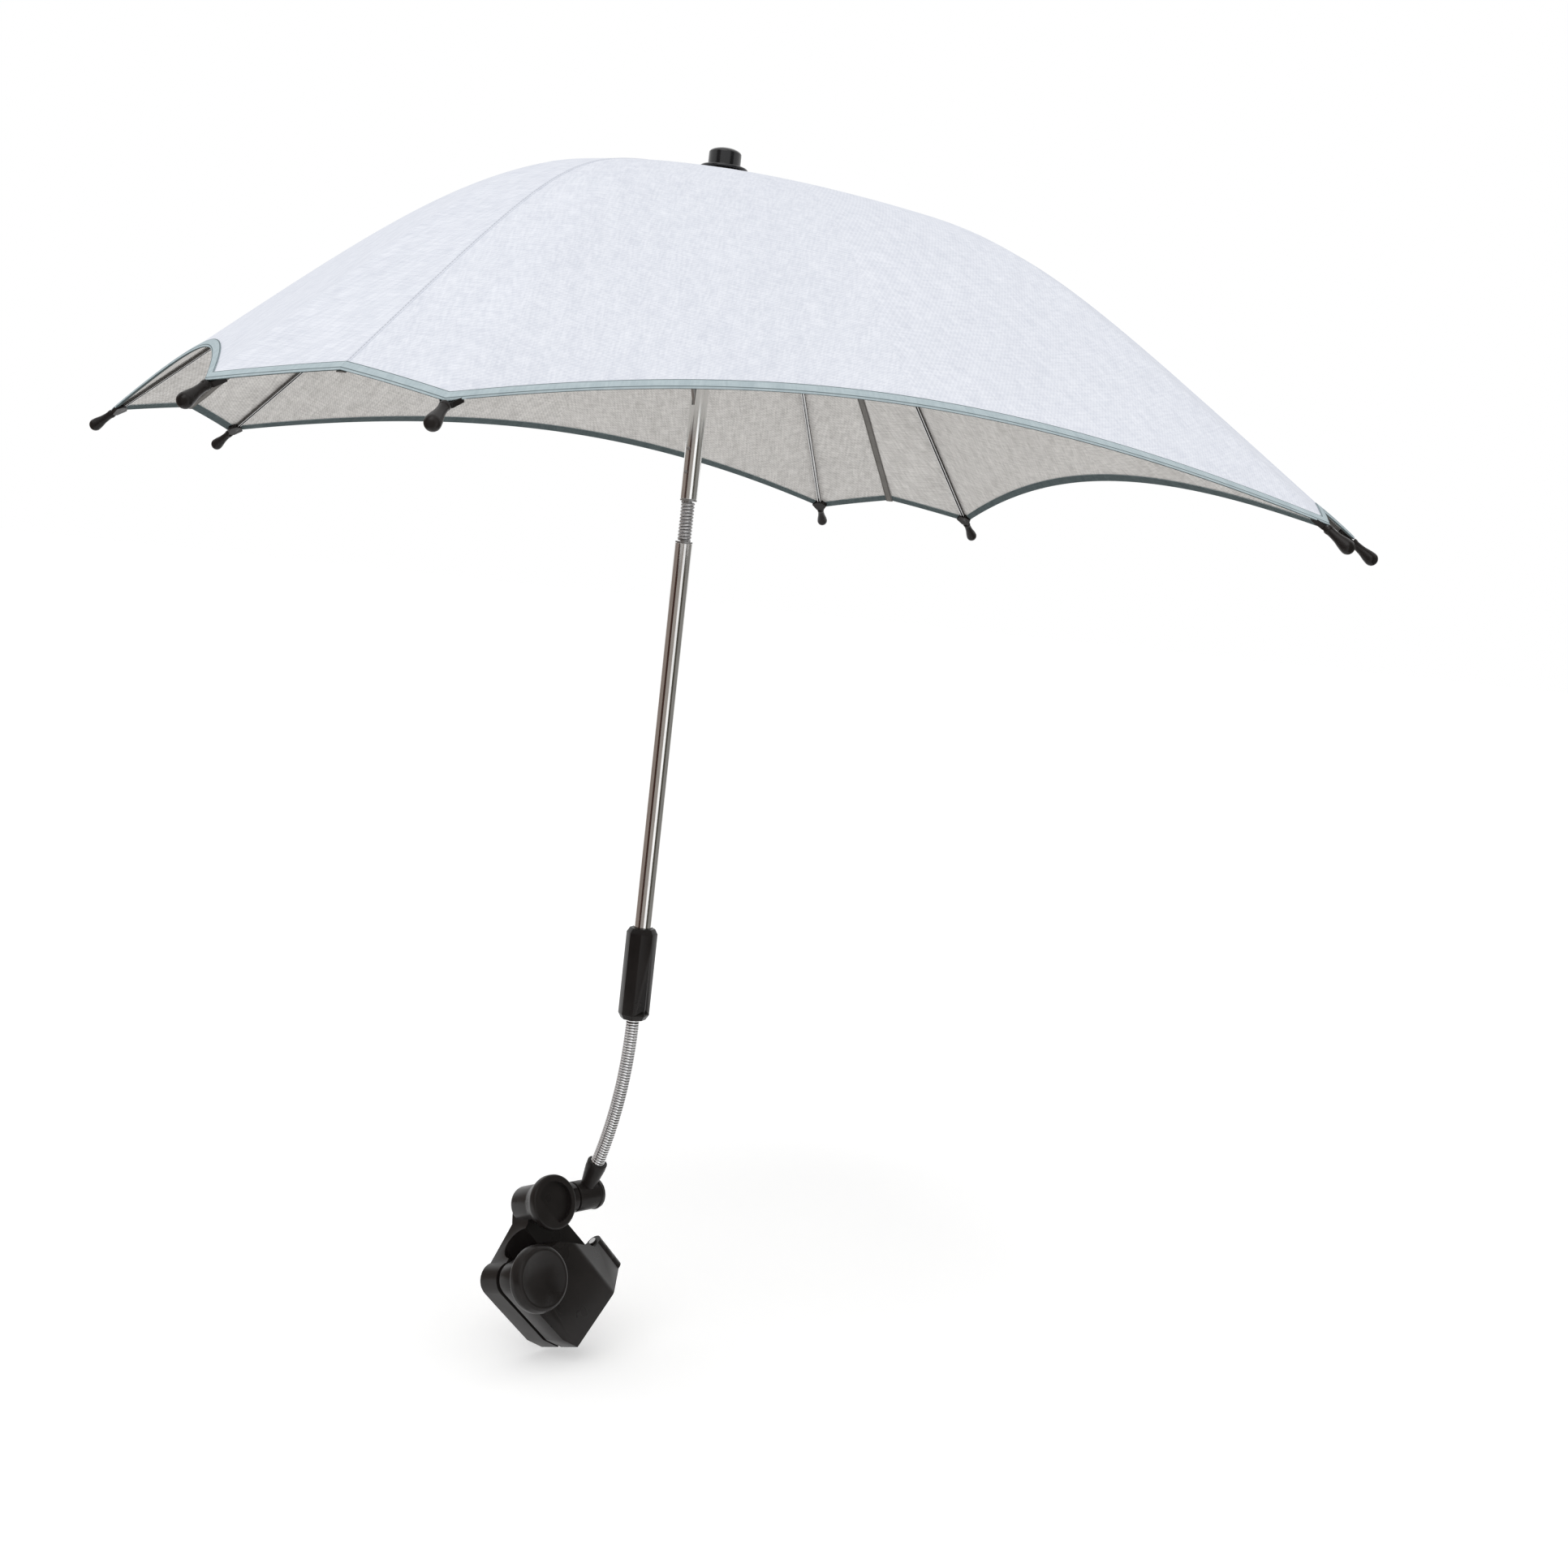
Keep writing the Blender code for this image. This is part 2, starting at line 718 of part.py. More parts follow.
def make_knuckle(paint):
    """Barrel that turns on the pivot, with the tapered socket for the neck."""
    bore = PIVOT_R + PIN_GAP
    recess = PIVOT_HEAD_R + GAP
    outline = [
        (bore, -BARREL_HALF),
        (BARREL_R, -BARREL_HALF),
        (BARREL_R, BAND_LOW),
        (BARREL_R + BAND_HEIGHT, BAND_LOW + BAND_HEIGHT),
        (BARREL_R + BAND_HEIGHT, BAND_HIGH - BAND_HEIGHT),
        (BARREL_R, BAND_HIGH),
        (BARREL_R, BARREL_HALF),
        (recess, BARREL_HALF),
        (recess, BARREL_HALF - PIVOT_RECESS),
        (bore, BARREL_HALF - PIVOT_RECESS),
    ]
    barrel = turned("knuckle", outline, paint, pivot_frame(), ROUND)
    root = (bore + BARREL_R) / 2
    inside = NECK_R + GAP
    profile = [
        (0, root),
        (SOCKET_ROOT_R, root),
        (SOCKET_ROOT_R, BARREL_R),
        (SOCKET_TOP_R, SOCKET_TOP - SOCKET_BAND),
        (SOCKET_TOP_R, SOCKET_TOP - EDGE),
        (SOCKET_TOP_R - EDGE, SOCKET_TOP),
        (inside, SOCKET_TOP),
        (inside, SOCKET_TOP - SOCKET_DEPTH),
        (0, SOCKET_TOP - SOCKET_DEPTH),
    ]
    join(barrel, turned("socket", profile, paint, head_frame(), ROUND))
    return barrel


def make_pivot_bolt(paint):
    """Bolt that holds the knuckle against the clamp's boss."""
    face = boss_face()
    seat = BARREL_HALF - PIVOT_RECESS + GAP
    top = seat + PIVOT_HEAD_HEIGHT
    profile = [
        (0, -(face + PIVOT_DEPTH - GAP)),
        (PIVOT_R, -(face + PIVOT_DEPTH - GAP)),
        (PIVOT_R, seat),
        (PIVOT_HEAD_R, seat),
        (PIVOT_HEAD_R, top - EDGE),
        (PIVOT_HEAD_R - EDGE, top),
        (0, top),
    ]
    bolt = turned("pivot_bolt", profile, paint, pivot_frame(), MIDDLE_ROUND)
    cut(bolt, rod("drive", PIVOT_DRIVE_R, top - DRIVE_DEPTH, REACH, paint, pivot_frame(), 6))
    return bolt


def neck_station(distance):
    """Point and downward direction at a distance below the sleeve's foot along the neck."""
    if distance < 0:
        return POLE_FOOT - Vector((0, 0, distance)), Vector((0, 0, -1))
    turn = min(distance, NECK_ARC_LENGTH) / NECK_BEND_R
    down = BACK * math.sin(turn) - Vector((0, 0, math.cos(turn)))
    shift = BACK * (1 - math.cos(turn)) - Vector((0, 0, math.sin(turn)))
    point = POLE_FOOT + shift * NECK_BEND_R
    return point + down * max(distance - NECK_ARC_LENGTH, 0), down


def neck_ring(distance, radius, sides=8):
    """A ring of points round the neck."""
    point, down = neck_station(distance)
    across = down.cross(SIDE)
    ring = []
    for j in range(sides):
        angle = 2 * math.pi * j / sides
        ring.append(point + SIDE * radius * math.cos(angle) + across * radius * math.sin(angle))
    return ring


def make_neck(paint):
    """The ribbed bendable neck, hollow through its length."""
    start = -NECK_IN_SLEEVE
    length = NECK_IN_SLEEVE + NECK_ARC_LENGTH + SOCKET_DEPTH - GAP
    ribs = round(length / NECK_RIB_PITCH)
    pitch = length / ribs
    rings = []
    for i in range(ribs):
        rings.append(neck_ring(start + (i + 0.2) * pitch, NECK_R))
        rings.append(neck_ring(start + (i + 0.7) * pitch, NECK_GROOVE_R))
    bores = 6
    first, last = start + 0.2 * pitch, start + (ribs - 0.3) * pitch
    for i in range(bores, -1, -1):
        rings.append(neck_ring(first + (last - first) * i / bores, NECK_BORE_R))
    return loft("neck", rings, paint, loop=True)


# Sleeve and pole


def make_sleeve(paint):
    """Eight-sided grip sleeve that joins the neck to the pole."""
    corner = SLEEVE_FLAT_R / math.cos(math.pi / 8)
    small = corner - SLEEVE_CHAMFER_IN
    turn = POLE @ Matrix.Rotation(math.pi / 8, 4, "Z")
    profile = [
        (0, 0),
        (small, 0),
        (corner, SLEEVE_CHAMFER),
        (corner, SLEEVE_TOP - SLEEVE_CHAMFER),
        (small, SLEEVE_TOP),
        (0, SLEEVE_TOP),
    ]
    sleeve = turned("grip_sleeve", profile, paint, turn, 8)
    cut(sleeve, rod("neck bore", NECK_R + GAP, -REACH, NECK_IN_SLEEVE + GAP, paint, POLE, MIDDLE_ROUND))
    cut(sleeve, rod("tube bore", LOWER_TUBE_R + GAP, SLEEVE_FLOOR, REACH, paint, POLE, ROUND))
    cut(sleeve, rod("screw hole", SCREW_R + PIN_GAP, 0, REACH, paint, screw_frame()))
    return sleeve


def screw_frame():
    """z out from the pole's axis through the sleeve's lower end."""
    place = POLE @ Vector((0, 0, NECK_IN_SLEEVE / 2))
    return axes(SIDE, Vector((0, 0, 1)), SIDE.cross(Vector((0, 0, 1))), place)


def make_sleeve_screw(paint):
    """Set screw that grips the neck."""
    low, high = NECK_R + GAP, SLEEVE_FLAT_R - FINE_EDGE
    screw = rod("sleeve_screw", SCREW_R, low, high, paint, screw_frame(), SMALL_ROUND)
    cut(screw, rod("drive", SCREW_DRIVE_R, high - DRIVE_DEPTH, REACH, paint, screw_frame(), 6))
    return screw


def make_tube(name, radius, wall, low, high, paint):
    """A pole tube, in heights above the sleeve's foot."""
    inner = radius - wall
    lip = TUBE_LIP
    profile = [
        (inner, low),
        (radius - lip, low),
        (radius, low + lip),
        (radius, high - lip),
        (radius - lip, high),
        (inner, high),
    ]
    return turned(name, profile, paint, POLE, ROUND)


def make_plug(name, tube_r, wall, paint, frame):
    """Turned plug in a tube's end, with a pin that guides the tilt spring."""
    stem = tube_r - wall - GAP
    profile = [
        (0, -PLUG_DEPTH),
        (stem - FINE_EDGE, -PLUG_DEPTH),
        (stem, -PLUG_DEPTH + FINE_EDGE),
        (stem, GAP),
        (tube_r, GAP),
        (tube_r, GAP + PLUG_FLANGE),
        (PLUG_PIN_R, GAP + PLUG_FLANGE),
        (PLUG_PIN_R, PLUG_PIN_LENGTH - EDGE),
        (PLUG_PIN_R - EDGE, PLUG_PIN_LENGTH),
        (0, PLUG_PIN_LENGTH),
    ]
    return turned(name, profile, paint, frame, SMALL_ROUND)


def sweep(name, points, normals, radius, paint, frame=None, sides=6, loop=False):
    """A round wire through points, each with a direction square to the wire."""
    rings = []
    count = len(points)
    for i, (point, normal) in enumerate(zip(points, normals)):
        after = points[(i + 1) % count] if loop else points[min(i + 1, count - 1)]
        before = points[i - 1] if loop else points[max(i - 1, 0)]
        other = (after - before).normalized().cross(normal).normalized()
        ring = []
        for j in range(sides):
            angle = 2 * math.pi * j / sides
            ring.append(point + (normal * math.cos(angle) + other * math.sin(angle)) * radius)
        rings.append(ring)
    return loft(name, rings, paint, frame, loop)


def least_self_gap(points, apart, radius):
    """Narrowest air between the turns of a wire of this radius along the points."""
    pairs = ((a, b) for i, a in enumerate(points) for b in points[i + apart:])
    return min((a - b).length for a, b in pairs) - 2 * radius


def make_tilt_spring(paint):
    """Wire coil that lets the upper tube lean over."""
    inset = PLUG_FLANGE + 2 * GAP + TILT_WIRE_R
    low, high = TILT_LOW + inset, TILT_HIGH - inset
    turns = (high - low) / TILT_PITCH
    steps = round(turns * COIL_POINTS)
    points = []
    normals = []
    for i in range(steps + 1):
        angle = 2 * math.pi * turns * i / steps
        out = Vector((math.cos(angle), math.sin(angle), 0))
        points.append(out * TILT_COIL_R + Vector((0, 0, low + (high - low) * i / steps)))
        normals.append(out)
    gap = least_self_gap(points, COIL_POINTS // 2 + 1, TILT_WIRE_R)
    print(f"tilt_spring: least gap to itself {gap * 1000:.2f} mm")
    return sweep("tilt_spring", points, normals, TILT_WIRE_R, paint, POLE)


# Hub, runner and catch


def ring_path():
    """Points of the wire that the ribs or stretchers turn on, straight where each one sits."""
    half = WIRE_STRAIGHT
    points = []
    for i, angle in enumerate(RIB_ANGLES):
        out = Vector((math.cos(angle), math.sin(angle), 0))
        side = Vector((-out.y, out.x, 0))
        points += [out * PIVOT_RING_R - side * half, out * PIVOT_RING_R + side * half]
        if i % 2:
            gap = math.pi / 2 - 2 * RIB_SPREAD
            reach = math.hypot(PIVOT_RING_R, half)
            for k in range(1, 4):
                turn = angle + gap * k / 4
                points.append(Vector((reach * math.cos(turn), reach * math.sin(turn), 0)))
    return points


def make_pivot_wire(name, drop, paint):
    """The wire ring of the hub or the runner."""
    points = ring_path()
    normals = [point.normalized() for point in points]
    frame = CROWN_FRAME @ Matrix.Translation((0, 0, -drop))
    return sweep(name, points, normals, RING_WIRE_R, paint, frame, sides=4, loop=True)


def cut_slots(block, low, high, paint):
    """Radial slots for the ribs' or stretchers' tangs, between two heights below the crown."""
    half = TANG_THICKNESS / 2 + SLOT_CLEARANCE
    for angle in RIB_ANGLES:
        slot = box("slot", (SLOT_ROOT_R, -half, low), (2 * HUB_R, half, high), paint, spoke(angle))
        cut(block, slot)


def make_hub(paint):
    """Slotted hub that the ribs hinge on."""
    pivot = -RIB_PIVOT_DROP
    top = -HUB_TOP_DROP
    bottom = pivot - HUB_BELOW_PIVOT
    groove = RING_WIRE_R + GAP
    root = PIVOT_RING_R - RING_WIRE_R - 2 * GAP
    bore = UPPER_TUBE_R + GAP
    profile = [
        (bore, bottom),
        (HUB_R, bottom),
        (HUB_R, pivot - groove),
        (root, pivot - groove),
        (root, pivot + groove),
        (HUB_R, pivot + groove),
        (HUB_R, top),
        (bore, top),
    ]
    hub = turned("rib_hub", profile, paint, CROWN_FRAME, ROUND)
    cut_slots(hub, bottom - REACH, top - HUB_ROOF, paint)
    return hub


def make_runner(paint):
    """Sliding runner that the stretchers hinge on."""
    pivot = -RUNNER_PIVOT_DROP
    top = pivot + RUNNER_ABOVE_PIVOT
    floor = pivot - EYE_R - SLIDE_GAP
    bottom = pivot - RUNNER_TAIL
    groove = RING_WIRE_R + GAP
    root = PIVOT_RING_R - RING_WIRE_R - 2 * GAP
    bore = LOWER_TUBE_R + SLIDE_GAP
    profile = [
        (bore, bottom),
        (RUNNER_FOOT_R, bottom),
        (RUNNER_FOOT_R, bottom + RUNNER_FOOT),
        (RUNNER_BODY_R, bottom + RUNNER_FOOT + RUNNER_TAPER),
        (RUNNER_BODY_R, floor - RUNNER_FLOOR - RUNNER_CONE),
        (HUB_R, floor - RUNNER_FLOOR),
        (HUB_R, pivot - groove),
        (root, pivot - groove),
        (root, pivot + groove),
        (HUB_R, pivot + groove),
        (HUB_R, top),
        (bore, top),
    ]
    runner = turned("runner", profile, paint, CROWN_FRAME, ROUND)
    cut_slots(runner, floor, top + REACH, paint)
    return runner


def catch_frame():
    """x out through the catch's slot, z up, at the runner's foot."""
    drop = RUNNER_PIVOT_DROP + RUNNER_TAIL + GAP
    return spoke(CATCH_ANGLE, 0, drop)


def make_catch(paint):
    """Spring catch that the open runner rests on."""
    inside = UPPER_TUBE_R - UPPER_TUBE_WALL - 2 * GAP
    nose = UPPER_TUBE_R + CATCH_REACH
    outline = [
        (inside - CATCH_SHEET * 2, 0),
        (nose, 0),
        (nose, -CATCH_NOSE),
        (inside, -CATCH_RAMP),
        (inside, -CATCH_LENGTH),
        (inside - CATCH_SHEET, -CATCH_LENGTH),
        (inside - CATCH_SHEET, -CATCH_RAMP),
        (inside - CATCH_SHEET * 2, -CATCH_NOSE * 2),
    ]
    half = CATCH_WIDTH / 2

    def upright(x, z, y):
        return (x, y, z)

    return prism("runner_catch", outline, -half, half, paint, catch_frame(), upright)


def make_upper_tube(paint):
    """Upper pole tube, with the catch's slot and the rivet holes."""
    tube = make_tube(
        "upper_tube", UPPER_TUBE_R, UPPER_TUBE_WALL, TILT_HIGH, CROWN - TUBE_TOP_DROP, paint
    )
    half = CATCH_WIDTH / 2 + GAP
    low, high = -CATCH_RAMP - GAP, GAP
    cut(tube, box("slot", (0, -half, low), (REACH, half, high), paint, catch_frame()))
    for drop in (UPPER_RIVET_DROP, LOWER_RIVET_DROP):
        hole = rod("hole", RIVET_SHANK_R + PIN_GAP, 0, REACH, paint, rivet_frame(drop), TINY_ROUND)
        cut(tube, hole)
    return tube


def rivet_frame(drop):
    """z out from the pole's axis at a drop below the crown, on the catch's side."""
    out = Vector((math.cos(CATCH_ANGLE), math.sin(CATCH_ANGLE), 0))
    place = CROWN_FRAME @ Vector((0, 0, -drop))
    up = Vector((0, 0, 1))
    return axes(up.cross(out), up, out, place)


def make_rivet(name, drop, paint):
    """Rivet through the tube wall that holds the catch's leaf."""
    inner = UPPER_TUBE_R - UPPER_TUBE_WALL - GAP
    seat = UPPER_TUBE_R + GAP / 2
    profile = [
        (0, inner),
        (RIVET_SHANK_R, inner),
        (RIVET_SHANK_R, seat),
        (RIVET_R, seat),
        (RIVET_R, seat + RIVET_HEAD / 2),
        (0, seat + RIVET_HEAD),
    ]
    return turned(name, profile, paint, rivet_frame(drop), TINY_ROUND)


# Crown


def washer_base():
    """Height of the crown washer's underside above the crown."""
    return CLOTH / 2 + GAP


def make_cap(paint):
    """Top-hat cap with a stem in the tube."""
    stem = UPPER_TUBE_R - UPPER_TUBE_WALL - GAP
    base = washer_base() + CROWN_WASHER + GAP
    shoulder = base + CAP_HEIGHT - CAP_DOME
    profile = [
        (0, base - CAP_STEM),
        (stem, base - CAP_STEM),
        (stem, base),
        (CAP_FLANGE_R, base),
        (CAP_FLANGE_R, base + CAP_FLANGE - CAP_EDGE),
        (CAP_FLANGE_R - CAP_EDGE, base + CAP_FLANGE),
        (CAP_BODY_R + CAP_EDGE, base + CAP_FLANGE),
        (CAP_BODY_R, base + CAP_FLANGE + CAP_EDGE),
        (CAP_BODY_R, shoulder),
    ]
    steps = 3
    for i in range(1, steps):
        turn = math.pi / 2 * i / steps
        profile.append((CAP_BODY_R * math.cos(turn), shoulder + CAP_DOME * math.sin(turn)))
    profile.append((0, base + CAP_HEIGHT))
    return turned("crown_cap", profile, paint, CROWN_FRAME, ROUND)


def make_crown_washer(paint):
    """Washer between the cloth and the cap."""
    bore = UPPER_TUBE_R - UPPER_TUBE_WALL
    frame = CROWN_FRAME @ Matrix.Translation((0, 0, washer_base()))
    return make_washer("crown_washer", bore, CROWN_WASHER_R, CROWN_WASHER, paint, frame)


# Ribs, stretchers and tips


def cloth_line(t):
    """Radius and height of the cloth over a rib, t from 0 at the crown to 1 at the hem."""
    points = (
        (CROWN_HOLE_R, 0.0),
        (ARCH_REACH, -ARCH_FALL),
        (BEND_REACH, -BEND_FALL),
        (RIB_REACH, -RIB_FALL),
    )
    weights = ((1 - t) ** 3, 3 * (1 - t) ** 2 * t, 3 * (1 - t) * t**2, t**3)
    return Vector([sum(w * p[k] for w, p in zip(weights, points)) for k in (0, 1)])


def rib_axes(t):
    """A point of the rib's middle line, with the directions along and above it."""
    step = 0.01
    along = (cloth_line(t + step) - cloth_line(t - step)).normalized()
    above = Vector((-along.y, along.x))
    return cloth_line(t) - above * RIB_DROP, along, above


def rib_pivot():
    """Radius and height of a rib's hinge."""
    return Vector((PIVOT_RING_R, -RIB_PIVOT_DROP))


def stretcher_pivot():
    """Radius and height of the pivot between rib and stretcher."""
    point, _, above = rib_axes(STRETCHER_AT)
    return point - above * SADDLE_DROP


def runner_pivot():
    """Radius and height of a stretcher's hinge on the runner."""
    return Vector((PIVOT_RING_R, -RUNNER_PIVOT_DROP))


def channel_section(width, height, wall):
    """A channel's section, open below, as (across, up)."""
    w, h = width / 2, height / 2
    return [
        (-w, -h),
        (-w, h),
        (w, h),
        (w, -h),
        (w - wall, -h),
        (w - wall, h - wall),
        (wall - w, h - wall),
        (wall - w, -h),
    ]


def flat_loft(name, stations, section, paint, frame):
    """A section carried along stations in the x-z plane, each (point, along)."""
    rings = []
    for point, along in stations:
        above = Vector((-along.y, along.x))
        ring = []
        for across, up in section:
            place = point + above * up
            ring.append((place.x, across, place.y))
        rings.append(ring)
    return loft(name, rings, paint, frame)


def bar(name, start, end, half_width, height, paint, frame):
    """A square-edged bar in the x-z plane between two points."""
    along = (end - start).normalized()
    h = height / 2
    section = [(-half_width, -h), (-half_width, h), (half_width, h), (half_width, -h)]
    return flat_loft(name, [(start, along), (end, along)], section, paint, frame)


def cross_pin(name, point, radius, low, high, paint, frame, sides=PIN_ROUND):
    """A cylinder across the x-z plane at a point."""
    turn = axes((1, 0, 0), (0, 0, -1), (0, 1, 0), (point.x, 0, point.y))
    return rod(name, radius, low, high, paint, frame @ turn, sides)


def eye_tang(name, eye, root, paint, frame):
    """A flat tang with an eye at one end."""
    half = TANG_THICKNESS / 2
    tang = bar(name, eye, root, half, TANG_HEIGHT, paint, frame)
    join(tang, cross_pin("eye", eye, EYE_R, -half - PROUD, half + PROUD, paint, frame, TINY_ROUND))
    return tang


def rib_mesh(paint):
    """One rib, from its hinge eye to its tail, with its origin at the hinge."""
    origin = rib_pivot()
    frame = Matrix.Identity(4)
    ts = [RIB_START] + [i / CLOTH_ROWS for i in range(1, CLOTH_ROWS + 1)]
    stations = []
    for t in ts:
        point, along, _ = rib_axes(t)
        stations.append((point - origin, along))
    point, along = stations[-1]
    stations.append((point + along * (TIP_START + RIB_TAIL), along))
    section = channel_section(RIB_WIDTH, RIB_HEIGHT, RIB_WALL)
    rib = flat_loft("rib", stations, section, paint, frame)
    first, along = stations[0]
    half = RIB_WIDTH / 2 + FERRULE_EXTRA
    high = RIB_HEIGHT + 2 * FERRULE_EXTRA
    near, far = first - along * RIB_FERRULE / 2, first + along * RIB_FERRULE / 2
    join(rib, bar("ferrule", near, far, half, high, paint, frame))
    eye = Vector((0, 0))
    join(rib, eye_tang("tang", eye, first, paint, frame))
    cut(rib, cross_pin("eye hole", eye, EYE_HOLE_R, -REACH, REACH, paint, frame))
    point, along, above = rib_axes(STRETCHER_AT)
    point = point - origin
    pivot = stretcher_pivot() - origin
    low = point - above * (SADDLE_DROP + SADDLE_FOOT)
    high = point + above * RIB_HEIGHT / 8
    middle = (low + high) / 2
    ends = [middle + along * side * SADDLE_HALF for side in (-1, 1)]
    join(rib, bar("saddle", *ends, half, (high - low).length, paint, frame))
    hole = RIVET_PIN_R + PIN_GAP
    cut(rib, cross_pin("pivot hole", pivot, hole, -REACH, REACH, paint, frame))
    return take_mesh(rib)


def take_mesh(obj):
    """The mesh of a finished shape, whose object is removed."""
    mesh = obj.data
    bpy.data.objects.remove(obj)
    return mesh


def stretcher_mesh(paint):
    """One stretcher, from its fork on the rib to its eye on the runner. The origin is the fork."""
    frame = Matrix.Identity(4)
    reach = runner_pivot() - stretcher_pivot()
    along = reach.normalized()
    length = reach.length

    def at(distance):
        return along * distance

    inner = RIB_WIDTH / 2 + FERRULE_EXTRA + GAP
    outer = inner + CHEEK
    block_height = BAR_HEIGHT + 2 * BLOCK_EXTRA
    block = [at(FORK_ROOT), at(FORK_ROOT + FORK_BLOCK)]
    fork = bar("stretcher", *block, outer, block_height, paint, frame)
    for side in (-1, 1):
        middle = Matrix.Translation((0, side * (inner + outer) / 2, 0))
        ends = [at(-CHEEK_R), at(FORK_ROOT + FORK_BLOCK / 2)]
        join(fork, bar("cheek", *ends, CHEEK / 2 - PROUD, BAR_HEIGHT, paint, middle))
    head = outer + RIVET_PIN_R / 2
    join(fork, cross_pin("rivet", at(0), RIVET_PIN_R, -head, head, paint, frame))
    root = length - TANG_LENGTH
    ends = [at(FORK_ROOT + FORK_BLOCK / 2), at(root - BLOCK_LAP)]
    section = channel_section(BAR_WIDTH, BAR_HEIGHT, BAR_WALL)
    join(fork, flat_loft("channel", [(end, along) for end in ends], section, paint, frame))
    block = [at(root - 2 * BLOCK_LAP), at(root)]
    join(fork, bar("block", *block, BAR_WIDTH / 2 + BLOCK_EXTRA, block_height, paint, frame))
    join(fork, eye_tang("tang", at(length), at(root - BLOCK_LAP / 2), paint, frame))
    cut(fork, cross_pin("eye hole", at(length), EYE_HOLE_R, -REACH, REACH, paint, frame))
    return take_mesh(fork)


def place_copy(name, mesh, frame):
    """An object with its own copy of a mesh."""
    obj = bpy.data.objects.new(name, mesh.copy())
    bpy.context.scene.collection.objects.link(obj)
    obj.matrix_world = frame
    return obj


def make_ribs(paint):
    """The ribs, each with its origin on its hinge."""
    mesh = rib_mesh(paint)
    pivot = rib_pivot()
    for i, angle in enumerate(RIB_ANGLES, 1):
        place_copy(f"rib_{i}", mesh, spoke(angle, pivot.x, -pivot.y))


def make_stretchers(paint):
    """The stretchers, each with its origin on its rib pivot."""
    mesh = stretcher_mesh(paint)
    pivot = stretcher_pivot()
    for i, angle in enumerate(RIB_ANGLES, 1):
        place_copy(f"stretcher_{i}", mesh, spoke(angle, pivot.x, -pivot.y))


def make_tips(paint):
    """Moulded end caps on the ribs, where the hem's corners are sewn."""
    bore = math.hypot(RIB_WIDTH, RIB_HEIGHT) / 2 + GAP
    long = TIP_LENGTH
    profile = [
        (0, TIP_BORE_DEPTH),
        (bore, TIP_BORE_DEPTH),
        (bore, 0),
        (TIP_COLLAR_R, 0),
        (TIP_COLLAR_R, TIP_COLLAR),
        (TIP_NECK_R, TIP_COLLAR + EDGE),
        (TIP_NECK_R, TIP_NECK),
        (TIP_BULB_R - FINE_EDGE, (TIP_NECK + long) / 2 - TIP_NECK / 2),
        (TIP_BULB_R, (TIP_NECK + long) / 2),
        (TIP_BULB_R - FINE_EDGE, long - TIP_COLLAR),
        (0, long),
    ]
    point, along, above = rib_axes(1.0)
    point = point + along * TIP_START
    for i, angle in enumerate(RIB_ANGLES, 1):
        turn = axes((above.x, 0, above.y), (0, -1, 0), (along.x, 0, along.y), (point.x, 0, point.y))
        turned(f"rib_tip_{i}", profile, paint, spoke(angle) @ turn, TINY_ROUND)


# Cloth


def cloth_columns():
    """Lines of cloth from the crown to the hem, in order round the pole.

    Each is (index of the rib before it, share of the way to the next rib, points).
    """
    columns = []
    for i, angle in enumerate(RIB_ANGLES):
        after = RIB_ANGLES[(i + 1) % len(RIB_ANGLES)]
        corner = i % 2 == 0
        count = CORNER_COLUMNS if corner else LONG_COLUMNS
        hem_cut = CORNER_HEM_CUT if corner else LONG_HEM_CUT
        bulge = CORNER_BULGE if corner else LONG_BULGE
        for j in range(count):
            share = j / count
            bow = 4 * share * (1 - share)
            points = []
            for row in range(CLOTH_ROWS + 1):
                radius, height = cloth_line(row / CLOTH_ROWS * (1 - hem_cut * bow))
                ends = [
                    Vector((radius * math.cos(a), radius * math.sin(a), height))
                    for a in (angle, after)
                ]
                point = ends[0].lerp(ends[1], share)
                point.z += bulge * bow * (ends[0] - ends[1]).length
                points.append(point)
            columns.append((i, share, points))
    return columns


def sheet_ring(line, above, below):
    """One cross-section of a sheet: the line raised, then the line lowered, run back."""
    top = [point + Vector((0, 0, above)) for point in line]
    return top + [point - Vector((0, 0, below)) for point in reversed(line)]


def make_canopy(paint):
    """The square cover, from the crown to the hem."""
    rings = [sheet_ring(line, CLOTH / 2, CLOTH / 2) for _, _, line in cloth_columns()]
    return loft("canopy", rings, paint, CROWN_FRAME, loop=True)


def make_binding(paint):
    """The tape round the hem."""
    low = CLOTH / 2 + GAP
    rings = []
    for _, _, line in cloth_columns():
        edge, inside = line[-1], line[-2]
        start = edge.lerp(inside, BINDING_WIDTH / (edge - inside).length)
        rings.append(sheet_ring([start, edge], low + BINDING, -low))
    return loft("hem_binding", rings, paint, CROWN_FRAME, loop=True)


def make_seam_tapes(paint):
    """The tapes under the four corner seams."""
    middles = [(i, line) for i, share, line in cloth_columns() if i % 2 == 0 and share == 0.5]
    high = CLOTH / 2 + GAP
    for number, (i, line) in enumerate(middles, 1):
        angle = (RIB_ANGLES[i] + RIB_ANGLES[i + 1]) / 2
        side = Vector((-math.sin(angle), math.cos(angle), 0)) * TAPE_WIDTH / 2
        run = line[TAPE_FIRST_ROW:-1] + [line[-2].lerp(line[-1], TAPE_END)]
        rings = []
        for point in run:
            rings.append(
                [
                    point - side - Vector((0, 0, high)),
                    point + side - Vector((0, 0, high)),
                    point + side - Vector((0, 0, high + TAPE)),
                    point - side - Vector((0, 0, high + TAPE)),
                ]
            )
        loft(f"seam_tape_{number}", rings, paint, CROWN_FRAME)


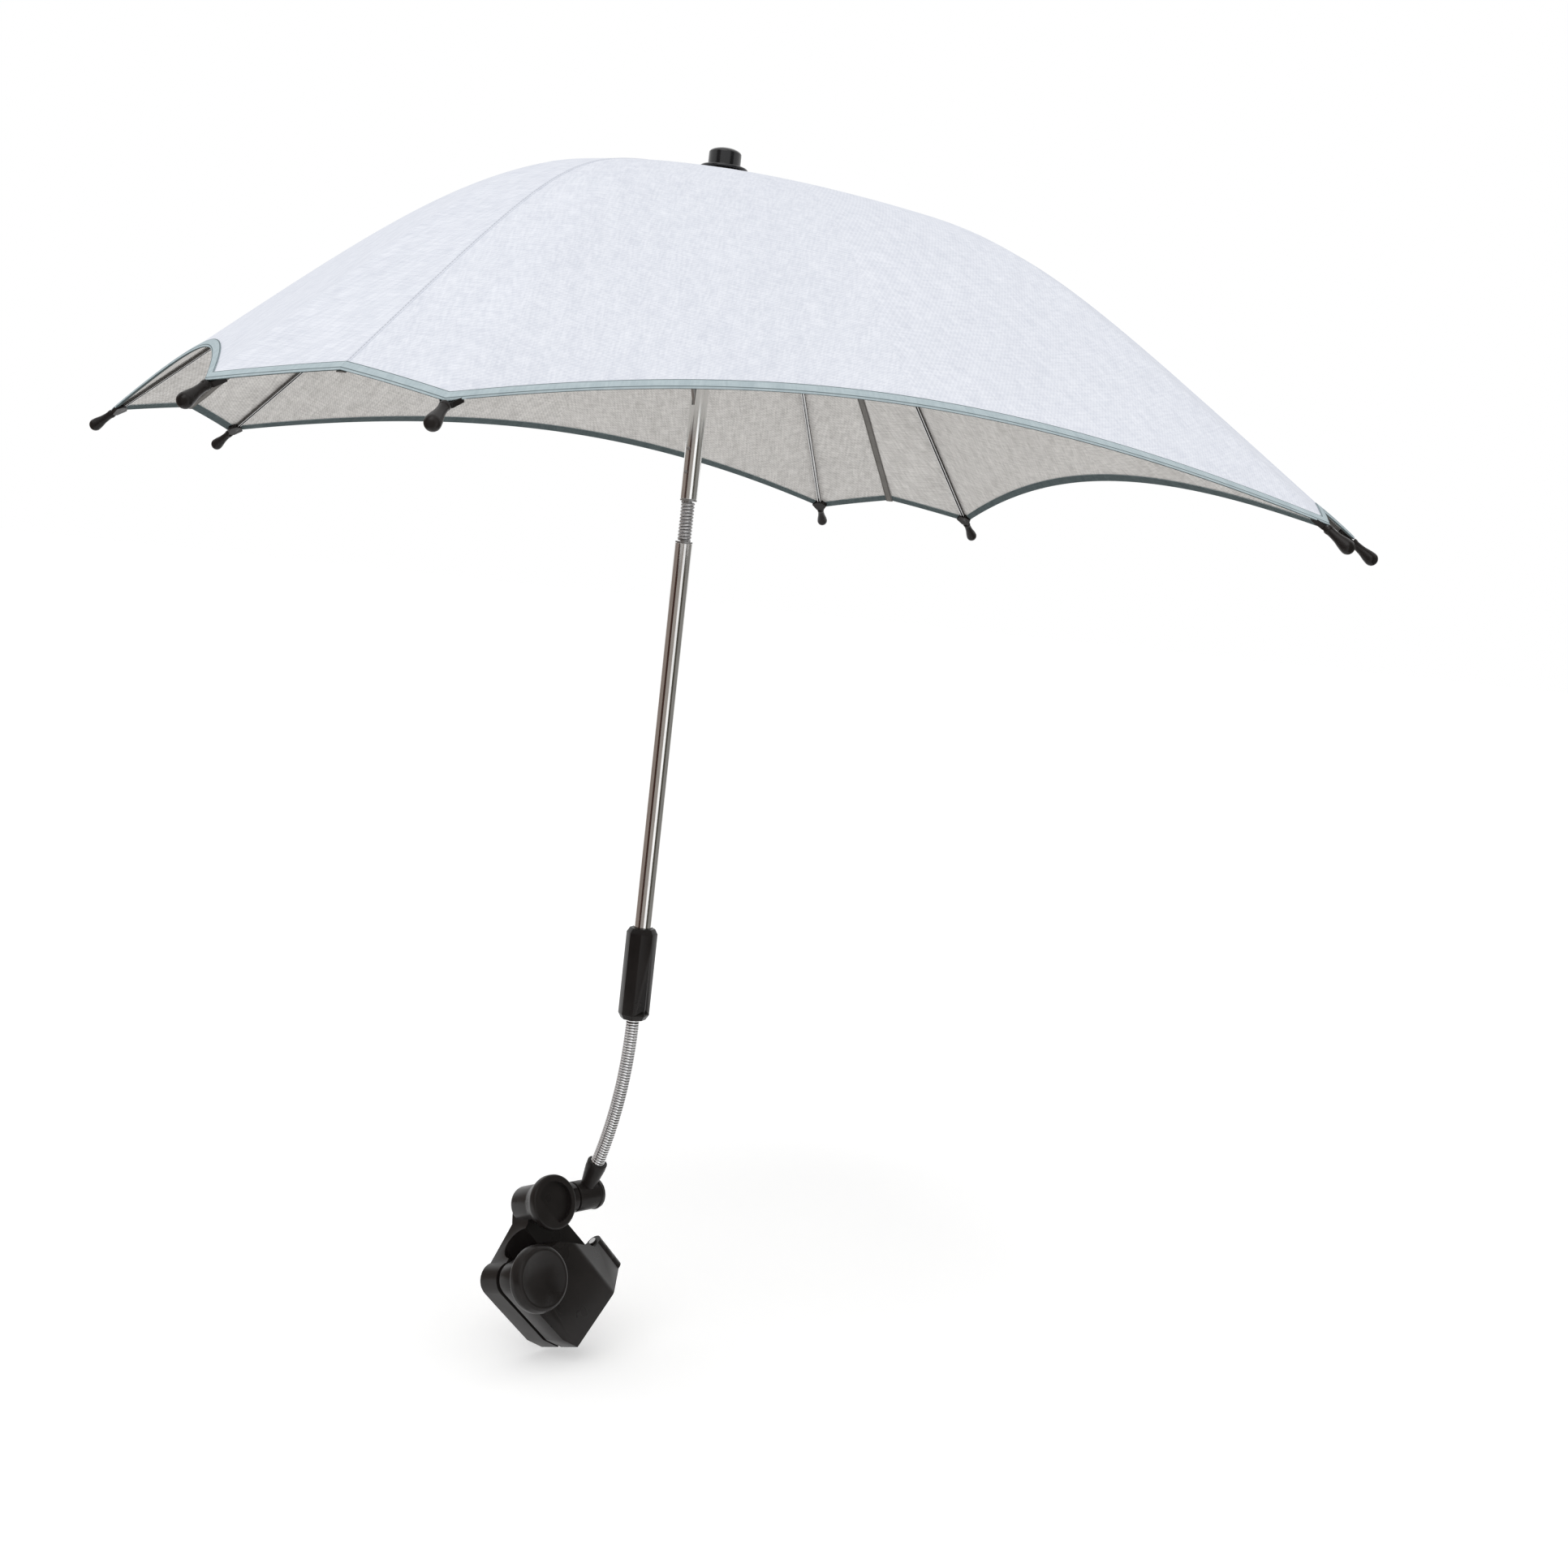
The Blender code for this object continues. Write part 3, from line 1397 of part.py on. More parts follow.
def main():
    """Builds every piece."""
    clear_scene()
    black = material("black_plastic", (0.02, 0.02, 0.022), 0.0, 0.45)
    gloss = material("gloss_black", (0.012, 0.012, 0.014), 0.0, 0.15)
    rubber = material("liner_rubber", (0.03, 0.03, 0.03), 0.0, 0.8)
    chrome = material("chrome_tube", (0.75, 0.76, 0.78), 1.0, 0.12)
    spring = material("spring_steel", (0.6, 0.6, 0.6), 1.0, 0.3)
    steel = material("steel_fitting", (0.55, 0.55, 0.56), 1.0, 0.35)
    dark = material("rib_steel", (0.12, 0.12, 0.13), 1.0, 0.4)
    cloth = material("canopy_cloth", (0.78, 0.79, 0.84), 0.0, 0.85)
    tape = material("binding_cloth", (0.62, 0.7, 0.73), 0.0, 0.8)
    lining = material("seam_cloth", (0.35, 0.33, 0.32), 0.0, 0.85)

    make_clamp_body(black)
    make_clamp_jaw(black)
    make_liner("rear_liner", -1, rubber)
    make_liner("front_liner", 1, rubber)
    make_hinge_pin(steel)
    make_clamp_nut(steel)
    thrust = in_clamp(BOLT_T, BOLT_U, JAW_OUTER + GAP)
    make_washer("thrust_washer", STUD_R + GAP, WASHER_R, WASHER_THICKNESS, steel, thrust)
    make_knob(black)
    make_stud(steel)

    make_knuckle(black)
    make_pivot_bolt(steel)
    friction = pivot_frame() @ Matrix.Translation((0, 0, -(BARREL_HALF + GAP + WASHER_THICKNESS)))
    make_washer("pivot_washer", PIVOT_R + GAP, PIVOT_WASHER_R, WASHER_THICKNESS, steel, friction)
    make_neck(spring)

    make_sleeve(black)
    make_sleeve_screw(steel)
    foot = SLEEVE_FLOOR + GAP
    make_tube("lower_tube", LOWER_TUBE_R, LOWER_TUBE_WALL, foot, TILT_LOW, chrome)
    low_end = POLE @ Matrix.Translation((0, 0, TILT_LOW))
    make_plug("lower_plug", LOWER_TUBE_R, LOWER_TUBE_WALL, steel, low_end)
    make_tilt_spring(spring)
    high_end = POLE @ Matrix.Translation((0, 0, TILT_HIGH)) @ Matrix.Rotation(math.pi, 4, "X")
    make_plug("upper_plug", UPPER_TUBE_R, UPPER_TUBE_WALL, steel, high_end)
    make_upper_tube(chrome)

    make_runner(black)
    make_pivot_wire("runner_wire", RUNNER_PIVOT_DROP, steel)
    make_catch(steel)
    make_rivet("catch_rivet_upper", UPPER_RIVET_DROP, steel)
    make_rivet("catch_rivet_lower", LOWER_RIVET_DROP, steel)
    make_hub(black)
    make_pivot_wire("hub_wire", RIB_PIVOT_DROP, steel)
    make_crown_washer(black)
    make_cap(gloss)

    make_ribs(dark)
    make_stretchers(dark)
    make_tips(black)
    make_canopy(cloth)
    make_binding(tape)
    make_seam_tapes(lining)


main()
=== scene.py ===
"""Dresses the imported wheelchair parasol: clamp, bendable neck, pole, ribs and canopy."""

import json
import logging
import math
from dataclasses import dataclass, field
from enum import Enum

import bpy
from mathutils import Matrix, Vector

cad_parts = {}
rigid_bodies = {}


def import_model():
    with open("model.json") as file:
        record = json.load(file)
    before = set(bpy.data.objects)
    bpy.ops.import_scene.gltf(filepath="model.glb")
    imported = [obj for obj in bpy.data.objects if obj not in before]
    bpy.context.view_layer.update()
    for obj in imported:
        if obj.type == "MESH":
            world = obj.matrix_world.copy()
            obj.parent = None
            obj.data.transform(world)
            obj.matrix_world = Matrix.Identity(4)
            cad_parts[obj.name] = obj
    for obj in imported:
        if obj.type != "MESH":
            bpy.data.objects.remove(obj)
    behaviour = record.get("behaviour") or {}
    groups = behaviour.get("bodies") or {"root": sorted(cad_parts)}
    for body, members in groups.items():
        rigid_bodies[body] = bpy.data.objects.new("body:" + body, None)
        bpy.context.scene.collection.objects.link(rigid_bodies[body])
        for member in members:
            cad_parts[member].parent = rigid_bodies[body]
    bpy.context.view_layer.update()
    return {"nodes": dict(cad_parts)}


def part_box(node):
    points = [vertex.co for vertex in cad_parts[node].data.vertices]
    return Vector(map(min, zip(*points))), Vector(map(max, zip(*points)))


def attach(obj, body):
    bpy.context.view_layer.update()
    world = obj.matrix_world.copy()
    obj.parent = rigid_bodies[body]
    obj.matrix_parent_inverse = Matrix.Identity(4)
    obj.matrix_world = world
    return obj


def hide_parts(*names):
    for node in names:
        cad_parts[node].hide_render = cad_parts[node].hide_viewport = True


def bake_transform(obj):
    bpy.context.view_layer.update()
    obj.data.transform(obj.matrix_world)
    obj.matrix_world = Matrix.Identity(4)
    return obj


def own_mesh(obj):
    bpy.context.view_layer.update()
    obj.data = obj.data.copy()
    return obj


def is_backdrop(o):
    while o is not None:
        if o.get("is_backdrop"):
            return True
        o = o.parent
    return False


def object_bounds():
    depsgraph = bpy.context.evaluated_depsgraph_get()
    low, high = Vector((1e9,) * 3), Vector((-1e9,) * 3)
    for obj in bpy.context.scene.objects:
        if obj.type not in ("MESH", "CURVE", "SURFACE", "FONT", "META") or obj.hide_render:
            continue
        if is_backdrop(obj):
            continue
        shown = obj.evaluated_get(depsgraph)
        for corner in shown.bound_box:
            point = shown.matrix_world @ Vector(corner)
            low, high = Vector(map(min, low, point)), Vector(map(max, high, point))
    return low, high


for startup_object in list(bpy.data.objects):
    bpy.data.objects.remove(startup_object)
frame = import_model()

log = logging.getLogger("parasol")

Pair = tuple[float, float]
Triple = tuple[float, float, float]
Piece = bpy.types.Object
Material = bpy.types.Material
Node = bpy.types.Node
Socket = bpy.types.NodeSocket
Tree = bpy.types.NodeTree

UP = Vector((0, 0, 1))
WHITE = (1, 1, 1, 1)
BLACK = (0, 0, 0, 1)
REACH = 0.2
GAP = 0.0003
WELD = 1e-6
EASE_SHARE = 0.45
NEARLY_STRAIGHT = -0.985


class Join(Enum):
    """How a Boolean puts two solids together."""

    ADD = "UNION"
    CUT = "DIFFERENCE"
    KEEP = "INTERSECT"


class Jaw(Enum):
    """The clamp's two jaws, by their side of the frame tube."""

    FRONT = 1
    REAR = -1


class Face(Enum):
    """The two faces of the canopy cloth."""

    OUTSIDE = 0
    UNDERSIDE = 1


# Placements


def axes(x: Vector, y: Vector, z: Vector, origin: Vector) -> Matrix:
    """Builds a placement from three directions and a point.

    Args:
        x: First direction.
        y: Second direction.
        z: Third direction.
        origin: The point that the placement starts from.

    Returns:
        The 4 by 4 placement.
    """
    made = Matrix.Identity(4)
    for column, direction in enumerate((x, y, z, origin)):
        for row in range(3):
            made[row][column] = direction[row]
    return made


def heading(angle: float) -> Vector:
    """Level direction at an angle round the pole."""
    return Vector((math.cos(angle), math.sin(angle), 0))


def runs_along(points: list[Vector]) -> list[float]:
    """Way from the first of some points to each of them, along the points."""
    runs = [0.0]
    for before, point in zip(points, points[1:]):
        runs.append(runs[-1] + (point - before).length)
    return runs


@dataclass(frozen=True)
class Layout:
    """Where the clamp, the swivel, the pole and the crown stand."""

    tube_slope: float = math.radians(48.5)
    clamp_roll: float = math.radians(30.0)
    head_at: Triple = (-0.0313, 0.072, 0.0042)
    socket_top: float = 0.034
    neck_arc: float = 0.128
    neck_bend: float = math.radians(21.2)
    sleeve_length: float = 0.074
    lower_tube_shown: float = 0.3061
    tilt_length: float = 0.0345
    upper_run: float = 0.2497

    @property
    def clamp(self) -> Matrix:
        """x runs along the frame tube, z out towards the knob."""
        along = Vector((math.cos(self.tube_slope), 0, -math.sin(self.tube_slope)))
        level = Vector((0, -1, 0))
        roll = self.clamp_roll
        out = level * math.cos(roll) + level.cross(along) * math.sin(roll)
        return axes(along, out.cross(along), out, Vector())

    @property
    def side(self) -> Vector:
        """Level direction of the swivel's pivot, away from the clamp."""
        return UP.cross(self.clamp.col[2].to_3d()).normalized()

    @property
    def back(self) -> Vector:
        """Level direction that the neck leans away from."""
        return Vector((-self.side.y, self.side.x, 0))

    @property
    def head(self) -> Vector:
        """Middle of the swivel."""
        return self.clamp @ Vector(self.head_at)

    @property
    def socket_axis(self) -> Vector:
        """Direction of the knuckle's socket."""
        return UP * math.cos(self.neck_bend) - self.back * math.sin(self.neck_bend)

    @property
    def neck_foot(self) -> Vector:
        """Top of the socket."""
        return self.head + self.socket_axis * self.socket_top

    @property
    def neck_radius(self) -> float:
        """Radius of the neck's bend."""
        return self.neck_arc / self.neck_bend

    @property
    def pole_foot(self) -> Vector:
        """Lower end of the sleeve, on the pole's axis."""
        aside = self.neck_radius * (1 - math.cos(self.neck_bend))
        rise = self.neck_radius * math.sin(self.neck_bend)
        return self.neck_foot - self.back * aside + UP * rise

    @property
    def pole(self) -> Matrix:
        """z up the pole from the sleeve's lower end."""
        return Matrix.Translation(self.pole_foot)

    @property
    def tilt_low(self) -> float:
        """Height of the tilt spring's lower end up the pole."""
        return self.sleeve_length + self.lower_tube_shown

    @property
    def tilt_high(self) -> float:
        """Height of the tilt spring's upper end up the pole."""
        return self.tilt_low + self.tilt_length

    @property
    def crown(self) -> Matrix:
        """z up from the middle of the cloth's hole at the crown."""
        return self.pole @ Matrix.Translation((0, 0, self.tilt_high + self.upper_run))

    @property
    def head_frame(self) -> Matrix:
        """x along the swivel's pivot, z up the socket."""
        across = self.socket_axis.cross(self.side)
        return axes(self.side, across, self.socket_axis, self.head)

    @property
    def pivot_frame(self) -> Matrix:
        """z along the swivel's pivot, away from the clamp."""
        across = self.socket_axis.cross(self.side)
        return axes(across, self.socket_axis, self.side, self.head)

    def in_clamp(self, t: float, u: float, a: float = 0.0) -> Matrix:
        """The clamp's frame moved to a point of its own."""
        return self.clamp @ Matrix.Translation((t, u, a))

    def seat_frame(self, t: float = 0.0, u: float = 0.0, a: float = 0.0) -> Matrix:
        """z along the frame tube, x across it, from a point of the clamp."""
        clamp = self.clamp
        place = clamp @ Vector((t, u, a))
        return axes(clamp.col[1].to_3d(), clamp.col[2].to_3d(), clamp.col[0].to_3d(), place)

    def spoke(self, angle: float, drop: float = 0.0) -> Matrix:
        """x out along a direction round the pole, at a drop below the crown."""
        turn = Matrix.Rotation(angle, 4, "Z")
        return self.crown @ turn @ Matrix.Translation((0, 0, -drop))


LAYOUT = Layout()


# Workbench


def deselect() -> None:
    """Leaves nothing selected and no active object."""
    bpy.ops.object.select_all(action="DESELECT")
    bpy.context.view_layer.objects.active = None


def pick(obj: Piece) -> None:
    """Makes one object the only selected and the active one."""
    deselect()
    obj.select_set(True)
    bpy.context.view_layer.objects.active = obj


def open_mesh(obj: Piece, action: str = "SELECT") -> None:
    """Opens an object's mesh for editing.

    Args:
        obj: The object to edit.
        action: What the first select_all does.
    """
    pick(obj)
    bpy.ops.object.mode_set(mode="EDIT")
    bpy.ops.mesh.select_all(action=action)


def close_mesh() -> None:
    """Goes back to object mode."""
    bpy.ops.object.mode_set(mode="OBJECT")


def close_outward() -> None:
    """Turns the faces of the open mesh outward and goes back to object mode."""
    bpy.ops.mesh.select_all(action="SELECT")
    bpy.ops.mesh.normals_make_consistent(inside=False)
    close_mesh()


def shown(name: str, data: bpy.types.ID) -> Piece:
    """Adds an object for a mesh, a camera or a lamp to the scene."""
    obj = bpy.data.objects.new(name, data)
    bpy.context.scene.collection.objects.link(obj)
    return obj


def apply_modifier(obj: Piece, modifier: bpy.types.Modifier) -> None:
    """Applies one modifier."""
    pick(obj)
    bpy.ops.object.modifier_apply(modifier=modifier.name)


def arc(centre: Pair, radius: float, start: float, end: float, steps: int) -> list[Pair]:
    """Gives points round an arc.

    Args:
        centre: Middle of the arc.
        radius: Its radius.
        start: First angle.
        end: Last angle.
        steps: How many stretches it has.

    Returns:
        The points, both ends included.
    """
    turns = [start + (end - start) * i / steps for i in range(steps + 1)]
    return [
        (centre[0] + radius * math.cos(a), centre[1] + radius * math.sin(a)) for a in turns
    ]


def eased(points: list[Pair], ease: float, steps: int = 3) -> list[Pair]:
    """Rounds the corners of a closed outline.

    Args:
        points: The outline's corners.
        ease: How far from each corner the rounding starts, at most.
        steps: How many stretches each rounding has.

    Returns:
        The rounded outline. A corner on the spin axis stays as it is.
    """
    made: list[Pair] = []
    count = len(points)
    for i, point in enumerate(points):
        here = Vector(point)
        before = Vector(points[i - 1]) - here
        after = Vector(points[(i + 1) % count]) - here
        reach = min(ease, before.length * EASE_SHARE, after.length * EASE_SHARE)
        straight = before.normalized().dot(after.normalized()) < NEARLY_STRAIGHT
        if abs(point[0]) < WELD or straight or reach < WELD:
            made.append(point)
            continue
        start, end = here + before.normalized() * reach, here + after.normalized() * reach
        for step in range(steps + 1):
            s = step / steps
            spot = start * (1 - s) ** 2 + here * 2 * s * (1 - s) + end * s**2
            made.append((spot.x, spot.y))
    return made


def laid_ring(name: str, points: list[Vector], fill: str = "NOTHING") -> Piece:
    """Adds a circle and lays its points on an outline.

    Args:
        name: Name of the new object.
        points: Where the circle's points go.
        fill: The circle's fill type.

    Returns:
        The new object.
    """
    deselect()
    bpy.ops.mesh.primitive_circle_add(vertices=len(points), radius=0.01, fill_type=fill)
    obj = bpy.context.object
    obj.name = name
    for vertex, point in zip(obj.data.vertices, points):
        vertex.co = point
    return obj


def turned(
    name: str, outline: list[Pair], place: Matrix, sides: int = 64, ease: float = 0.0
) -> Piece:
    """Spins an outline of radii and heights into a closed solid.

    Args:
        name: Name of the new object.
        outline: Closed outline as (radius, height).
        place: Where the spin axis stands.
        sides: How many sides the round has.
        ease: Rounding of the outline's corners.

    Returns:
        The solid.
    """
    loop = eased(outline, ease) if ease else outline
    obj = laid_ring(name, [Vector((radius, 0, height)) for radius, height in loop])
    open_mesh(obj)
    bpy.ops.mesh.spin(steps=sides, angle=2 * math.pi, center=(0, 0, 0), axis=(0, 0, 1))
    bpy.ops.mesh.select_all(action="SELECT")
    bpy.ops.mesh.remove_doubles(threshold=WELD)
    bpy.ops.mesh.dissolve_degenerate(threshold=WELD)
    bpy.ops.mesh.delete_loose()
    close_outward()
    obj.data.transform(place)
    return obj


def slab(
    name: str, outline: list[Pair], low: float, high: float, place: Matrix
) -> Piece:
    """Raises an outline into a solid.

    Args:
        name: Name of the new object.
        outline: Closed outline in the placement's x and y.
        low: Height that it starts from.
        high: Height that it is raised to.
        place: Where it stands.

    Returns:
        The solid.
    """
    obj = laid_ring(name, [Vector((x, y, low)) for x, y in outline], "NGON")
    open_mesh(obj)
    bpy.ops.mesh.extrude_region_move(TRANSFORM_OT_translate={"value": (0, 0, high - low)})
    close_outward()
    obj.data.transform(place)
    return obj


def rod(
    name: str, radius: float, low: float, high: float, place: Matrix, sides: int = 64
) -> Piece:
    """A plain round bar, used for bores and lugs."""
    last = 2 * math.pi * (1 - 1 / sides)
    return slab(name, arc((0, 0), radius, 0, last, sides - 1), low, high, place)


def combine(obj: Piece, other: Piece, join: Join) -> None:
    """Puts another solid to or from one, and removes the other.

    Args:
        obj: The solid that changes.
        other: The tool.
        join: How they go together.
    """
    modifier = obj.modifiers.new("join", "BOOLEAN")
    modifier.solver = "EXACT"
    modifier.operation = join.value
    modifier.object = other
    apply_modifier(obj, modifier)
    bpy.data.objects.remove(other)


def soften(obj: Piece, width: float, angle: float = 35.0, steps: int = 2) -> None:
    """Rounds the sharp edges of a solid.

    Args:
        obj: The solid.
        width: Width of the rounding.
        angle: Edges sharper than this are rounded, in degrees.
        steps: How many faces each rounding has.
    """
    open_mesh(obj)
    bpy.ops.mesh.remove_doubles(threshold=WELD * 10)
    bpy.ops.mesh.dissolve_limited(angle_limit=math.radians(1.0))
    close_mesh()
    modifier = obj.modifiers.new("edges", "BEVEL")
    modifier.width = width
    modifier.segments = steps
    modifier.limit_method = "ANGLE"
    modifier.angle_limit = math.radians(angle)
    apply_modifier(obj, modifier)


def smooth(obj: Piece, angle: float = 35.0) -> None:
    """Shades a piece smooth, with creases where its faces turn by more than an angle."""
    pick(obj)
    bpy.ops.object.shade_smooth_by_angle(angle=math.radians(angle))


def copied(source: Piece, name: str, move: Matrix) -> Piece:
    """Copies a piece with a mesh of its own, moved to another place."""
    obj = source.copy()
    obj.data = source.data.copy()
    obj.name = name
    obj.data.transform(move)
    bpy.context.scene.collection.objects.link(obj)
    return obj


def merged_copy(node: str, name: str) -> Piece:
    """Copies a CAD node's mesh and joins its loose triangles into clean faces.

    Args:
        node: The CAD node.
        name: Name of the new piece.

    Returns:
        The new piece.
    """
    obj = shown(name, frame["nodes"][node].data.copy())
    obj.data.materials.clear()
    open_mesh(obj)
    bpy.ops.mesh.customdata_custom_splitnormals_clear()
    bpy.ops.mesh.remove_doubles(threshold=WELD)
    bpy.ops.mesh.dissolve_limited(angle_limit=math.radians(0.5))
    close_mesh()
    return obj


# Shared effects of the finishes


def new_group(
    name: str, takes: dict[str, str], gives: dict[str, str]
) -> tuple[Tree, Node, Node]:
    """Starts a shader node group.

    Args:
        name: The effect's name.
        takes: Socket type of each input.
        gives: Socket type of each output.

    Returns:
        The group, its input node and its output node.
    """
    group = bpy.data.node_groups.new(name, "ShaderNodeTree")
    for label, kind in takes.items():
        group.interface.new_socket(name=label, in_out="INPUT", socket_type=kind)
    for label, kind in gives.items():
        group.interface.new_socket(name=label, in_out="OUTPUT", socket_type=kind)
    return group, group.nodes.new("NodeGroupInput"), group.nodes.new("NodeGroupOutput")


def settle(node: Node, values: dict[str, object]) -> None:
    """Sets plain values on a node's own sockets."""
    for label, value in values.items():
        node.inputs[label].default_value = value


class Bench:
    """Adds and links nodes in one tree."""

    def __init__(self, tree: Tree) -> None:
        """Starts on a tree."""
        self.tree = tree

    def link(self, source: Socket, target: Socket) -> None:
        """Links one socket to another."""
        self.tree.links.new(source, target)

    def feed(self, socket: Socket, value: object) -> None:
        """Links a socket, or sets it where the value is plain."""
        if isinstance(value, Socket):
            self.link(value, socket)
        else:
            socket.default_value = value

    def maths(self, operation: str, *values: object) -> Socket:
        """A Math node on some values.

        Args:
            operation: The node's operation.
            *values: Sockets or numbers.

        Returns:
            The result's socket.
        """
        node = self.tree.nodes.new("ShaderNodeMath")
        node.operation = operation
        for socket, value in zip(node.inputs, values):
            self.feed(socket, value)
        return node.outputs[0]

    def plus(self, first: object, second: object) -> Socket:
        """Adds two values."""
        return self.maths("ADD", first, second)

    def times(self, first: object, second: object) -> Socket:
        """Multiplies two values."""
        return self.maths("MULTIPLY", first, second)

    def span(
        self, value: object, low: float, high: float, to_low: float = 0.0, to_high: float = 1.0
    ) -> Socket:
        """Maps a value from one range to another, held at its ends."""
        node = self.tree.nodes.new("ShaderNodeMapRange")
        for socket, given in zip(node.inputs, (value, low, high, to_low, to_high)):
            self.feed(socket, given)
        return node.outputs[0]

    def own_place(self) -> Socket:
        """The piece's own coordinates."""
        return self.tree.nodes.new("ShaderNodeTexCoord").outputs["Object"]

    def scaled(self, vector: Socket, scale: Triple, turn: float = 0.0) -> Socket:
        """Scales and turns a pattern's coordinates."""
        node = self.tree.nodes.new("ShaderNodeMapping")
        settle(node, {"Scale": scale, "Rotation": (0, 0, turn)})
        self.link(vector, node.inputs["Vector"])
        return node.outputs[0]

    def noise(
        self, vector: Socket, scale: object, detail: float = 2.0, rough: float = 0.5
    ) -> Socket:
        """A noise value."""
        node = self.tree.nodes.new("ShaderNodeTexNoise")
        self.link(vector, node.inputs["Vector"])
        self.feed(node.inputs["Scale"], scale)
        settle(node, {"Detail": detail, "Roughness": rough})
        return node.outputs["Fac"]

    def blend(self, share: object, first: object, second: object) -> Socket:
        """Mixes two colours."""
        node = self.tree.nodes.new("ShaderNodeMix")
        node.data_type = "RGBA"
        self.feed(node.inputs[0], share)
        self.feed(node.inputs[6], first)
        self.feed(node.inputs[7], second)
        return node.outputs[2]

    def tint(self, share: object, first: Triple, second: Triple) -> Socket:
        """Mixes two plain colours."""
        return self.blend(share, (*first, 1), (*second, 1))

    def group(self, group: Tree, **values: object) -> Node:
        """Places a shared effect, with its own values."""
        node = self.tree.nodes.new("ShaderNodeGroup")
        node.node_tree = group
        for label, value in values.items():
            self.feed(node.inputs[label], value)
        return node


def grain_group() -> Tree:
    """Fine pebbled grain of moulded plastic and rubber."""
    group, start, end = new_group(
        "moulded_grain",
        {"Vector": "NodeSocketVector", "Scale": "NodeSocketFloat"},
        {"Tone": "NodeSocketFloat", "Height": "NodeSocketFloat"},
    )
    bench = Bench(group)
    place = start.outputs["Vector"]
    fine = bench.noise(place, start.outputs["Scale"], 3.0, 0.6)
    broad = bench.noise(place, 38.0, 3.0)
    bench.link(bench.span(broad, 0.3, 0.7), end.inputs["Tone"])
    bench.link(fine, end.inputs["Height"])
    return group


def scuff_group() -> Tree:
    """Thin handling scuffs, as a mask."""
    group, start, end = new_group(
        "handling_scuffs",
        {"Vector": "NodeSocketVector", "Amount": "NodeSocketFloat"},
        {"Mask": "NodeSocketFloat"},
    )
    bench = Bench(group)
    place = start.outputs["Vector"]
    lines = bench.noise(bench.scaled(place, (900, 60, 140), 0.6), 1.0, 3.0, 0.65)
    zones = bench.noise(place, 24.0, 2.0)
    sharp = bench.span(lines, 0.6, 0.72)
    within = bench.span(zones, 0.5, 0.7)
    bench.link(bench.times(bench.times(sharp, within), start.outputs["Amount"]), end.inputs["Mask"])
    return group


def weave_group() -> Tree:
    """Twill weave on cloth coordinates in metres: thread tones and relief."""
    group, start, end = new_group(
        "twill_weave",
        {"Vector": "NodeSocketVector", "Thread": "NodeSocketFloat"},
        {"Tone": "NodeSocketFloat", "Height": "NodeSocketFloat"},
    )
    bench = Bench(group)
    place = start.outputs["Vector"]
    split = group.nodes.new("ShaderNodeSeparateXYZ")
    bench.link(place, split.inputs[0])
    rate = bench.maths("DIVIDE", 2 * math.pi, start.outputs["Thread"])
    slant = bench.plus(split.outputs[0], split.outputs[1])
    ridge = bench.maths("SINE", bench.times(slant, bench.times(rate, 0.5)))
    weft = bench.maths("SINE", bench.times(split.outputs[0], rate))
    warp = bench.maths("SINE", bench.times(split.outputs[1], rate))
    relief = bench.plus(bench.times(ridge, 0.7), bench.times(bench.times(weft, warp), 0.3))
    along = bench.noise(bench.scaled(place, (80, 560, 1)), 1.0, 2.0, 0.6)
    across = bench.noise(bench.scaled(place, (560, 80, 1)), 1.0, 2.0, 0.6)
    flecks = bench.span(bench.plus(along, across), 0.75, 1.25)
    tone = bench.plus(bench.times(flecks, 0.7), bench.span(relief, -1.0, 1.0, 0.0, 0.4))
    bench.link(tone, end.inputs["Tone"])
    bench.link(relief, end.inputs["Height"])
    return group


def stitch_group() -> Tree:
    """A row of stitches along x at a place across y, in metres."""
    group, start, end = new_group(
        "stitch_row",
        {"Vector": "NodeSocketVector", "Pitch": "NodeSocketFloat", "Row": "NodeSocketFloat"},
        {"Mask": "NodeSocketFloat", "Line": "NodeSocketFloat"},
    )
    bench = Bench(group)
    split = group.nodes.new("ShaderNodeSeparateXYZ")
    bench.link(start.outputs["Vector"], split.inputs[0])
    share = bench.maths("FRACT", bench.maths("DIVIDE", split.outputs[0], start.outputs["Pitch"]))
    off = bench.maths("ABSOLUTE", bench.maths("SUBTRACT", split.outputs[1], start.outputs["Row"]))
    band = bench.span(off, 0.0002, 0.0005, 1.0, 0.0)
    lit = bench.times(bench.span(share, 0.12, 0.2), bench.span(share, 0.8, 0.88, 1.0, 0.0))
    bench.link(bench.times(band, lit), end.inputs["Mask"])
    bench.link(band, end.inputs["Line"])
    return group


def streak_group() -> Tree:
    """Faint drawing marks and haze of bright metal."""
    group, start, end = new_group(
        "drawn_metal",
        {"Vector": "NodeSocketVector"},
        {"Haze": "NodeSocketFloat", "Lines": "NodeSocketFloat"},
    )
    bench = Bench(group)
    place = start.outputs["Vector"]
    bench.link(bench.noise(place, 55.0, 4.0, 0.6), end.inputs["Haze"])
    bench.link(bench.noise(bench.scaled(place, (1500, 1500, 9)), 1.0, 2.0), end.inputs["Lines"])
    return group


class Effects:
    """The shared effects, each built once."""

    grain = grain_group()
    scuffs = scuff_group()
    weave = weave_group()
    stitches = stitch_group()
    metal = streak_group()


def start_material(name: str) -> tuple[Material, Bench, Node]:
    """Starts a material on a Principled shader.

    Args:
        name: The finish's name.

    Returns:
        The material, its bench and its shader.
    """
    made = bpy.data.materials.new(name)
    made.use_nodes = True
    bench = Bench(made.node_tree)
    return made, bench, made.node_tree.nodes["Principled BSDF"]


